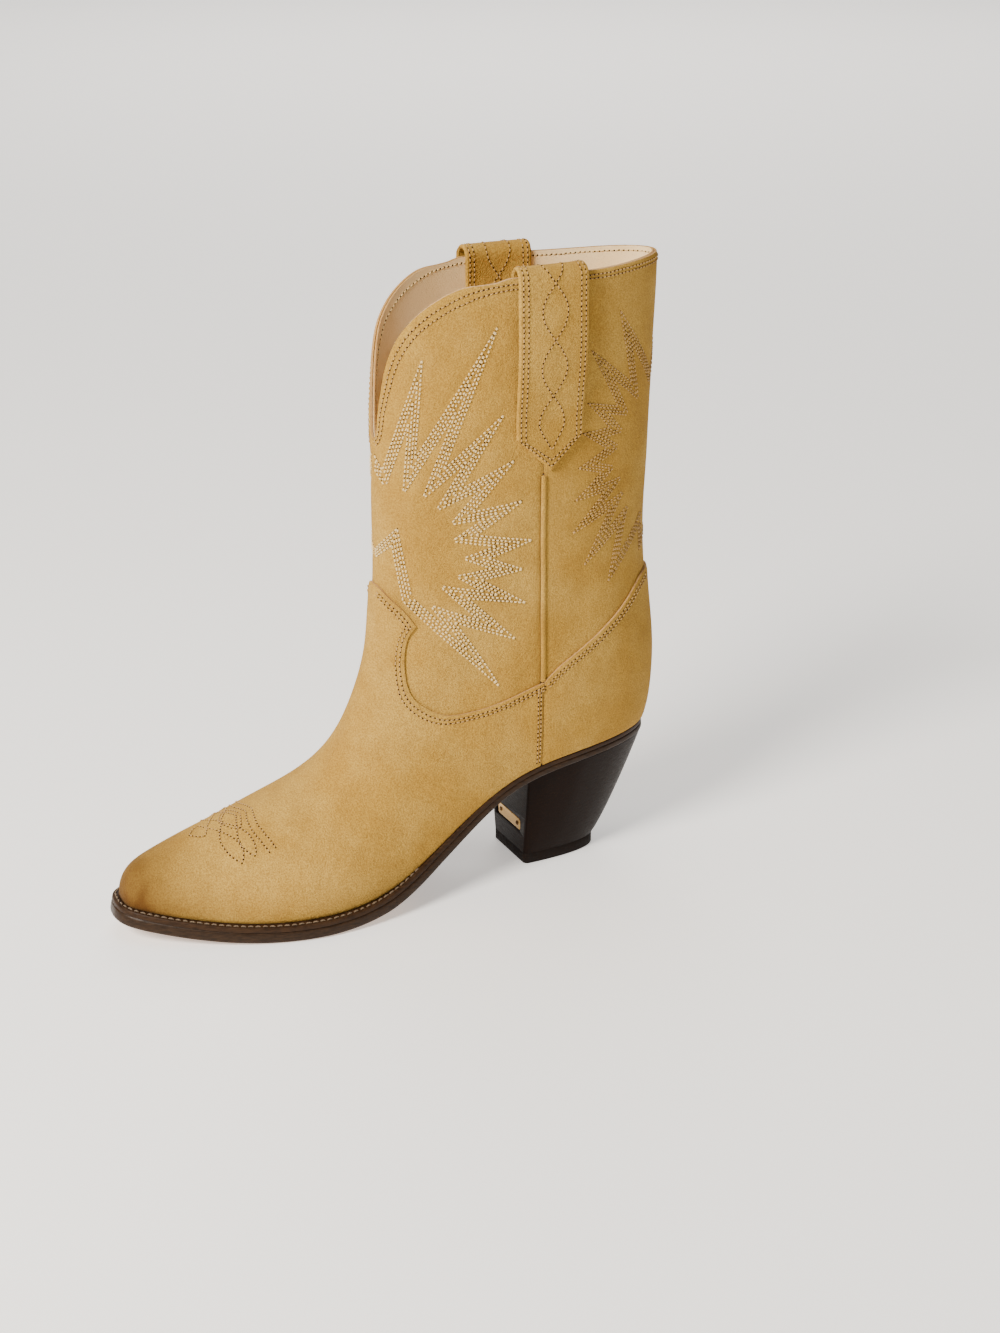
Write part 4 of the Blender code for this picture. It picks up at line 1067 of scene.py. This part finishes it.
def offset_line(line, distance):
    """Plane polyline moved sideways by a distance (to the left of its direction)."""
    t = np.gradient(line, axis=0)
    t /= np.linalg.norm(t, axis=1, keepdims=True) + 1e-9
    return line + np.stack([-t[:, 1], t[:, 0]], 1) * distance


def edge_rows(line, distances, d):
    """Stitch rows beside a panel edge that is given in side view (y, z)."""
    s, a = section_at(line[:, 1], line[:, 0])
    u = round_from(s, a)
    flat = np.stack([u, skin(s, a)[:, 2]], 1)
    rows = []
    for distance in distances:
        moved = offset_line(flat, distance)
        moved = moved[(moved[:, 0] > 0.3) & (moved[:, 0] < ROUND_U[-1] - 0.3)]
        rows += both_sides(*at_height(moved[:, 0], moved[:, 1]), d)
    return rows


def front_dip_rows(distances, d, inward=1):
    """Stitch rows that follow the scalloped front edge."""
    rows = []
    half = through(FRONT_DIP[:-1], 1.0)
    for distance in distances:
        line = offset_line(half, -distance)
        line = line[(line[:, 1] < RIM_Z - distance) & (line[:, 0] > 0.2)]
        tail_x = np.linspace(line[-1, 0], 28.4, 8)[1:]
        line = np.vstack([line, np.stack([tail_x, np.full(7, RIM_Z - distance)], 1)])
        s = root(lambda s: spline(SECTIONS, s)[..., 1] - line[:, 1], np.full(len(line), 15.0),
                 np.full(len(line), float(TOP)))
        wide = spline(SECTIONS, s)[..., 4]
        a = np.arcsin(np.clip(line[:, 0] / wide, 0, 1)) / np.pi
        y = np.linspace(skin(s, a)[-1, 1] + 2, SEAM_Y - 3, 30)
        s1, a1 = section_at(np.full(30, RIM_Z - distance), y)
        rows += both_sides(np.r_[s, s1], np.r_[a, a1], d, inward)
    return rows


def rim_back_rows(distances, d, inward=1):
    rows = []
    for distance in distances:
        y = np.linspace(SEAM_Y + 3, 137, 60)
        s, a = section_at(np.interp(y, *np.array(RIM_BACK).T) - distance, y)
        rows += both_sides(np.r_[s, s[-1]], np.r_[a, 1.0], d, inward)
    return rows


def seam_rows():
    """Vertical rows beside the vamp and counter seam, from the junction to the welt."""
    rows = []
    for y in (SEAM_Y - 1.6, SEAM_Y - 3.0):
        z = np.linspace(98.0, float(feather_z(y)) + 3, 30)
        rows += both_sides(*section_at(z, np.full(z.shape, y)), OUTER[0])
    return rows


def toe_rows():
    """Toe medallion: two lines across, interlaced petals and a curl at the middle."""
    def line(points, side=1):
        p = through(points, 0.12)
        return on_surface(p[:, 0], p[:, 1] * side, OUTER[0])
    bars = [((5.42, -0.001), (5.33, 0.10), (5.38, 0.17), (5.52, 0.262)),
            ((5.27, -0.001), (5.16, 0.09), (5.21, 0.18), (5.36, 0.272))]
    petals = [((5.13, 0.0), (5.03, 0.075), (4.92, 0.105), (4.72, 0.06), (4.62, 0.0)),
              ((4.62, 0.0), (4.85, 0.07), (5.06, 0.15), (5.12, 0.225), (5.05, 0.268),
               (4.90, 0.235), (4.82, 0.17), (4.90, 0.09), (5.03, 0.0)),
              ((4.30, 0.0), (4.55, 0.085), (4.76, 0.16), (4.84, 0.225), (4.74, 0.282),
               (4.54, 0.235), (4.44, 0.16), (4.50, 0.085), (4.70, 0.0)),
              ((4.30, 0.0), (4.20, 0.06), (4.02, 0.05), (3.86, 0.0))]
    return [line(shape, side) for shape in bars + petals for side in (1, -1)]


def strap_rows(outer, normal, length):
    """Double edge rows and a chain of lenses on one strap."""
    def sample(c, w):
        row = np.interp(w, length, np.arange(len(length)))
        col = (c + 1) / 2 * (len(STRAP_ACROSS) - 1)
        r0, c0 = (np.clip(np.floor(v).astype(int), 0, n - 2)
                  for v, n in ((row, len(length)), (col, len(STRAP_ACROSS))))
        fr, fc = (row - r0)[:, None], (col - c0)[:, None]

        def read(g):
            return (g[r0, c0] * (1 - fr) * (1 - fc) + g[r0 + 1, c0] * fr * (1 - fc)
                    + g[r0, c0 + 1] * (1 - fr) * fc + g[r0 + 1, c0 + 1] * fr * fc)
        return read(outer), read(normal)
    rows, end = [], length[-1] - 3
    for inset in (2.0, 4.3):
        edge = 1 - inset / STRAP_HALF
        low = inset * 1.25
        c = np.r_[np.full(80, edge), np.linspace(edge, -edge, 40), np.full(80, -edge)]
        w = np.r_[np.linspace(end, low, 80), np.full(40, low), np.linspace(low, end, 80)]
        rows.append(sample(c, w))
    w = np.linspace(10.0, end - 6, 200)
    swing = 0.36 * np.sin((w - 10.0) * np.pi / 25.5)
    rows += [sample(swing, w), sample(-swing, w)]
    return rows


def welt_rows():
    """Seam along the middle of the welt's margin, from waist to waist round the toe."""
    index = np.arange(STATIONS)
    first = int(np.argmax(LOOP[:, 1] < -2))
    last = int(index[(index > HALF) & (LOOP[:, 1] < 4)][-1])
    index = index[first:last]
    p = plan(index, 1.0, -1.35)
    points = sole_point(p[:, 0], p[:, 1], np.full(len(p), WELT_TOP + 0.02))
    slope = np.gradient(FEATHER_CURVE[:, 1], FEATHER_CURVE[:, 0])
    slope = np.interp(p[:, 1], FEATHER_CURVE[:, 0], slope)
    normals = np.stack([0 * slope, -slope, np.ones(len(p))], 1)
    return [(points, normals / np.linalg.norm(normals, axis=1, keepdims=True))]


# --- sole pieces
def ring_piece(name, index, profile, material, nodes):
    """Strip with a closed cross-section swept along the stations of the sole's edge."""
    rings = []
    for edge, extra, d in profile:
        p = plan(index, edge, extra)
        rings.append(sole_point(p[:, 0], p[:, 1], np.full(len(p), d)))
    add_piece(name, sweep(name, np.stack(rings, 1)), (material,), nodes)


def strip_profile():
    low = WELT_TOP - WELT_THICK
    top = [(0, -RING_INSIDE, WELT_TOP), (0, -1.5, WELT_TOP), (0, 0.6, WELT_TOP),
           (1, -0.75, WELT_TOP), (1, -0.3, WELT_TOP - 0.12), (1, -0.05, WELT_TOP - 0.45),
           (1, 0.0, WELT_TOP - 0.9)]
    return top + [(1, 0.0, low + 0.5), (1, -0.12, low + 0.15), (1, -0.45, low),
                  (0, -RING_INSIDE, low)]


def make_strips():
    index = np.arange(STATIONS)
    first = int(np.argmax(LOOP[:, 1] < BREAST_Y - 2))
    last = int(index[(index > HALF) & (LOOP[:, 1] < BREAST_Y - 2)][-1])
    ring_piece("welt_strip", index[first:last + 1], strip_profile(), WELT_LEATHER,
               ("welt",))
    around = np.r_[np.arange(last, STATIONS), np.arange(0, first + 1)]
    ring_piece("heel_rand_strip", around, strip_profile(), WELT_LEATHER,
               ("heel_rand",))


def make_outsole():
    """Plate between the inner and outer edge, thick in front and thin at the waist."""
    k = np.arange(HALF + 1)
    inner, outer = HALF - k, (HALF + k) % STATIONS
    edge = ((-0.5, 0.0), (-0.12, 0.08), (0.0, 0.2), (0.0, 0.72), (-0.25, 0.9), (-0.8, 0.985),
            (-1.6, 1.0))
    across = np.linspace(0, 1, 13)[1:-1]

    def at(index, extra, share):
        p = plan(index, 1.0, extra)
        thin = np.clip((p[:, 1] + 22) / 65, 0, 1)
        thick = OUTSOLE_FORE + (OUTSOLE_WAIST - OUTSOLE_FORE) * thin
        return sole_point(p[:, 0], p[:, 1], OUTSOLE_TOP - thick * share)
    right = [at(inner, e, f) for e, f in edge]
    left = [at(outer, e, f) for e, f in edge]
    below = [right[-1] + (left[-1] - right[-1]) * t for t in across]
    above = [left[0] + (right[0] - left[0]) * t for t in across]
    rings = np.stack(right + below + left[::-1] + above, 1)
    add_piece("outsole_plate", sweep("outsole", rings, caps=False), (SOLE_LEATHER,),
              ("outsole",))


# --- heel pieces
HEEL_TOP = OUTSOLE_TOP - OUTSOLE_WAIST - 0.1
HEEL_RINGS = 16


def heel_ring(h, inset=0.0, count=36, corner=2.5):
    """Plan outline of the heel at relative height h: straight breast, rounded back."""
    sweep_angle = np.linspace(0, np.pi / 2, count)
    edges = [plan(np.arange(HALF, -1, -1), 1.0, 0.0), plan(np.arange(HALF, STATIONS), 1.0, 0.0)]
    seat_back = edges[0][-1, 1] - 1.0
    back = (1 - h) * BASE_BACK + h * seat_back
    y = BREAST_Y + (back - BREAST_Y) * np.sin(sweep_angle) ** 0.8
    seat_y = BREAST_Y + (seat_back - BREAST_Y) * np.sin(sweep_angle) ** 0.8
    base = BASE_HALF * np.cos(sweep_angle) ** 0.62
    middle = (1 - h) * BASE_MIDDLE_X + h * MIDDLE_X
    sides = []
    for side, edge in zip((1, -1), edges):
        seat = (np.interp(seat_y, edge[:, 1], edge[:, 0]) - MIDDLE_X) * side - 0.3
        seat *= SEAT_TUCK + (1 - SEAT_TUCK) * np.clip((seat_y - BREAST_Y) / 26, 0, 1) ** 0.7
        seat[-1] = 0
        half = (1 - h) * base + h * seat
        sides.append(np.stack([middle + side * half, y], 1))
    turn = np.linspace(0, np.pi / 2, 6)[:, None]
    arc_x, arc_y = corner * np.sin(turn), BREAST_Y + corner * (1 - np.cos(turn))
    start = np.hstack([sides[0][0, 0] - corner + arc_x, arc_y])
    end = np.hstack([sides[1][0, 0] + corner - arc_x, arc_y])
    right, left = (side[side[:, 1] > BREAST_Y + corner + 0.4] for side in sides)
    left = left[:-1]
    ring = np.vstack([start, right, left[::-1], end[::-1]])
    t = np.roll(ring, -1, 0) - np.roll(ring, 1, 0)
    t /= np.linalg.norm(t, axis=1, keepdims=True) + 1e-9
    return ring - np.stack([t[:, 1], -t[:, 0]], 1) * inset


def make_heel():
    """Heel block with its recess for the plate, and the rubber top lift."""
    low, rings = LIFT_THICK + 0.05, []
    for level in np.arange(HEEL_RINGS) / HEEL_RINGS:
        ring = heel_ring(level ** 0.85)
        z = low + (sole_z(HEEL_TOP, ring[:, 1]) - low) * level
        rings.append(np.column_stack([ring, z]))
    ring = heel_ring(1.0, 0.1)
    rings.append(np.column_stack([ring, sole_z(HEEL_TOP, ring[:, 1])]))
    block = add_piece("stacked_heel", sweep("stacked_heel", np.array(rings)), (HEEL_LEATHER,),
                      ("heel_block",))
    cut_away(block, plate_mesh("recess", PLATE[0] + 0.7, PLATE[1] + 0.7, 2.6, 0.0,
                               (BASE_MIDDLE_X, BREAST_Y, PLATE_Z)))
    levels = ((0.0, 0.5), (0.12, 0.15), (0.4, 0.0), (LIFT_THICK - 0.3, 0.0),
              (LIFT_THICK - 0.05, 0.2))
    rings = [np.column_stack([heel_ring(0.0, inset), np.full(len(ring), z)])
             for z, inset in levels]
    add_piece("rubber_top_lift", sweep("rubber_top_lift", np.array(rings)),
              (LIFT_RUBBER,), ("top_lift",))


def plate_mesh(name, width, height, depth, bevel, centre):
    """Rounded rectangle that faces the toe, with softened front edges."""
    corner, turn = 1.1, np.linspace(0, np.pi / 2, 7)
    outline = []
    for n, (sx, sz) in enumerate(((1, 1), (-1, 1), (-1, -1), (1, -1))):
        for t in turn + n * np.pi / 2:
            outline.append((sx * (width / 2 - corner) + corner * math.cos(t),
                            sz * (height / 2 - corner) + corner * math.sin(t)))
    outline = np.array(outline)
    steps = [(-depth / 2, bevel), (-depth / 2 + bevel, 0.0), (depth / 2, 0.0)][not bevel:]
    rings = []
    for y, inset in steps:
        scale = 1 - 2 * inset / np.array([width, height])
        flat = outline * scale
        rings.append(np.column_stack([centre[0] + flat[:, 0], np.full(len(flat), centre[1] + y),
                                      centre[2] + flat[:, 1]]))
    return sweep(name, np.array(rings))


def make_heel_plate():
    x, face = BASE_MIDDLE_X, BREAST_Y
    add_piece("brass_heel_plate",
              plate_mesh("brass_heel_plate", PLATE[0], PLATE[1], PLATE[2], 0.22,
                         (x, face + PLATE[2] / 2, PLATE_Z)), (BRASS,), ("heel_plate",))
    profile = ((0.01, 0.5), (1.2, 0.45), (1.25, 0.0), (1.22, -0.28), (0.85, -0.62),
               (0.45, -0.8), (0.01, -0.85))
    turn = np.linspace(0, 2 * np.pi, 28, endpoint=False)
    for number, side in enumerate((-1, 1), 1):
        px = x + side * SCREW_SPACING / 2
        rings = [np.column_stack([px + r * np.cos(turn), np.full(28, face + 0.2 + y),
                                  PLATE_Z + r * np.sin(turn)]) for r, y in profile]
        screw = add_piece(f"brass_screw_{number}", sweep(f"brass_screw_{number}",
                                                         np.array(rings)), (SCREW_BRASS,),
                          (f"heel_plate_screw_{number}",))
        slot = bmesh.new()
        place = Matrix.Translation(Vector((px, face - 0.6, PLATE_Z)) * MM) \
            @ Matrix.Rotation(0.6 * side, 4, "Y")
        bmesh.ops.create_cube(slot, size=1.0)
        bmesh.ops.scale(slot, vec=(0.003, 0.0006, 0.00035), verts=slot.verts)
        bmesh.ops.transform(slot, matrix=place, verts=slot.verts)
        mesh = bpy.data.meshes.new("slot")
        slot.to_mesh(mesh)
        slot.free()
        cut_away(screw, mesh)


# --- hidden CAD pieces
def finish_hidden_nodes():
    """Give each CAD piece that stays inside the boot its own material."""
    steel = plain_material("steel", (0.34, 0.34, 0.36), (0.55, 0.55, 0.57), 300, 0.35, 1.0,
                           0.0001)
    board = plain_material("stiffener_board", (0.48, 0.40, 0.28), (0.66, 0.58, 0.44), 700, 0.9)
    insole = plain_material("insole_leather", (0.42, 0.26, 0.13), (0.60, 0.40, 0.22), 500, 0.8)
    cork = plain_material("cork", (0.22, 0.12, 0.05), (0.52, 0.33, 0.17), 420, 0.95, 0.0, 0.001)
    looks = {"toe_puff": board, "counter_stiffener": board, "insole": insole, "shank": steel,
             "cork_filler": cork, "sock_lining": LINING_LEATHER, "vamp_lining": LINING_LEATHER,
             "heel_screw": steel}
    looks.update({f"heel_nail_{n}": steel for n in range(1, 6)})
    looks.update({f"top_lift_pin_{n}": steel for n in range(1, 4)})
    for node, look in looks.items():
        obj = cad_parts[node]
        if obj.material_slots:
            for place in obj.material_slots:
                place.material = look
        else:
            obj.data.materials.append(look)


# --- camera and light
def aim(obj, target):
    obj.rotation_euler = (Vector(target) - obj.location).to_track_quat("-Z", "Y").to_euler()


def area_light(name, place, target, size, power, colour):
    lamp = bpy.data.lights.new(name, "AREA")
    lamp.shape, lamp.size, lamp.energy, lamp.color = "DISK", size, power, colour
    obj = bpy.data.objects.new(name, lamp)
    obj.location = place
    bpy.context.scene.collection.objects.link(obj)
    aim(obj, target)


def make_stage():
    bpy.ops.mesh.primitive_plane_add(size=12, location=(0, 0, -0.0001))
    floor = bpy.context.object
    floor.name = "studio_floor"
    m = Shader("studio_paper", 0.75)
    m.colour(m.mix(m.noise(3, 2.0), (0.86, 0.835, 0.805), (0.88, 0.855, 0.83)))
    m.out.inputs["Emission Color"].default_value = (1.0, 0.975, 0.945, 1.0)
    m.out.inputs["Emission Strength"].default_value = 0.52
    floor.data.materials.append(m.mat)
    world = bpy.data.worlds.new("studio")
    world.use_nodes = True
    sky = world.node_tree.nodes["Background"]
    sky.inputs["Color"].default_value = (1.0, 0.975, 0.94, 1.0)
    sky.inputs["Strength"].default_value = 0.27
    bpy.context.scene.world = world
    area_light("key", (0.62, -1.34, 1.25), (0, 0, 0.12), 0.7, 70, (1.0, 0.96, 0.89))
    area_light("top", (-0.5, -0.1, 2.3), (0, 0, 0.1), 1.6, 14, (1.0, 0.97, 0.93))
    area_light("backdrop", (-3.2, 1.6, 2.6), (-3.4, 1.7, 0), 3.0, 120, (1.0, 0.98, 0.95))


# place and view direction of the camera, lens in mm and shift of its frame
CAMERA_PLACE = (0.9134, -0.3780, 0.4967)
CAMERA_VIEW = (-0.8376, 0.4103, -0.3607)
CAMERA_LENS, SENSOR_HEIGHT, CAMERA_SHIFT = 61.19, 36.0, (-0.0145, -0.0118)


def make_camera():
    lens_data = bpy.data.cameras.new("camera")
    lens_data.sensor_fit = "VERTICAL"
    lens_data.sensor_height = SENSOR_HEIGHT
    lens_data.lens = CAMERA_LENS
    lens_data.shift_x, lens_data.shift_y = CAMERA_SHIFT
    camera = bpy.data.objects.new("camera", lens_data)
    camera.location = CAMERA_PLACE
    camera.rotation_euler = Vector(CAMERA_VIEW).to_track_quat("-Z", "Y").to_euler()
    bpy.context.scene.collection.objects.link(camera)
    bpy.context.scene.camera = camera


# --- assembly
make_camera()
make_stage()
FRONT_STAR = star_paths(FRONT_TIPS, FRONT_VALLEYS, STAR_ROWS, 1.36, False)
BACK_STAR = star_paths(BACK_TIPS, BACK_VALLEYS, STAR_ROWS, 1.25, True)
make_upper(FRONT_STAR, BACK_STAR)
make_linings()
make_piping()
make_strips()
make_outsole()
make_heel()
make_heel_plate()

stitching("front_sunburst_stitching", [on_surface(s, a, -0.42) for s, a in FRONT_STAR],
          CREAM_THREAD, pitch=STAR_PITCH, length=1.5, radius=0.46, hole=0.42)
stitching("back_sunburst_stitching", [on_surface(s, a, -0.28) for s, a in BACK_STAR],
          TAN_THREAD, pitch=STAR_PITCH, length=1.4, radius=0.36, hole=0.42)
vamp_edge = np.vstack([through(TONGUE[1:])[:-1], through(SCOOP)])
stitching("vamp_edge_stitching", edge_rows(vamp_edge, (-1.8, -3.5), OUTER[0])
          + edge_rows(through(COUNTER_TOP[:-1]), (-1.8, -3.5), OUTER[0]) + seam_rows(),
          TAN_THREAD, pitch=2.3, length=1.6, radius=0.3)
stitching("rim_stitching", front_dip_rows((2.0, 3.7), 0.0) + rim_back_rows((2.0, 3.7), 0.0),
          TAN_THREAD, pitch=2.3, length=1.6, radius=0.3)
stitching("rim_lining_stitching", front_dip_rows((2.2,), LINING[0] - LINING[1], -1)
          + rim_back_rows((2.2,), LINING[0] - LINING[1], -1), CREAM_THREAD, pitch=2.3,
          length=1.6, radius=0.28)
stitching("toe_medallion_stitching", toe_rows(), TAN_THREAD, pitch=2.0, length=1.2,
          radius=0.28)
strap_stitches = []
for strap_side, strap_name in ((1, "pull_strap_inner"), (-1, "pull_strap_outer")):
    strap_stitches += strap_rows(*make_strap(strap_side, strap_name))
stitching("strap_stitching", strap_stitches, TAN_THREAD, pitch=2.3, length=1.6, radius=0.3)
stitching("welt_stitching", welt_rows(), WELT_THREAD, pitch=3.3, length=2.7, radius=0.42,
          hole=0.35, nodes=("welt_thread",))
finish_hidden_nodes()
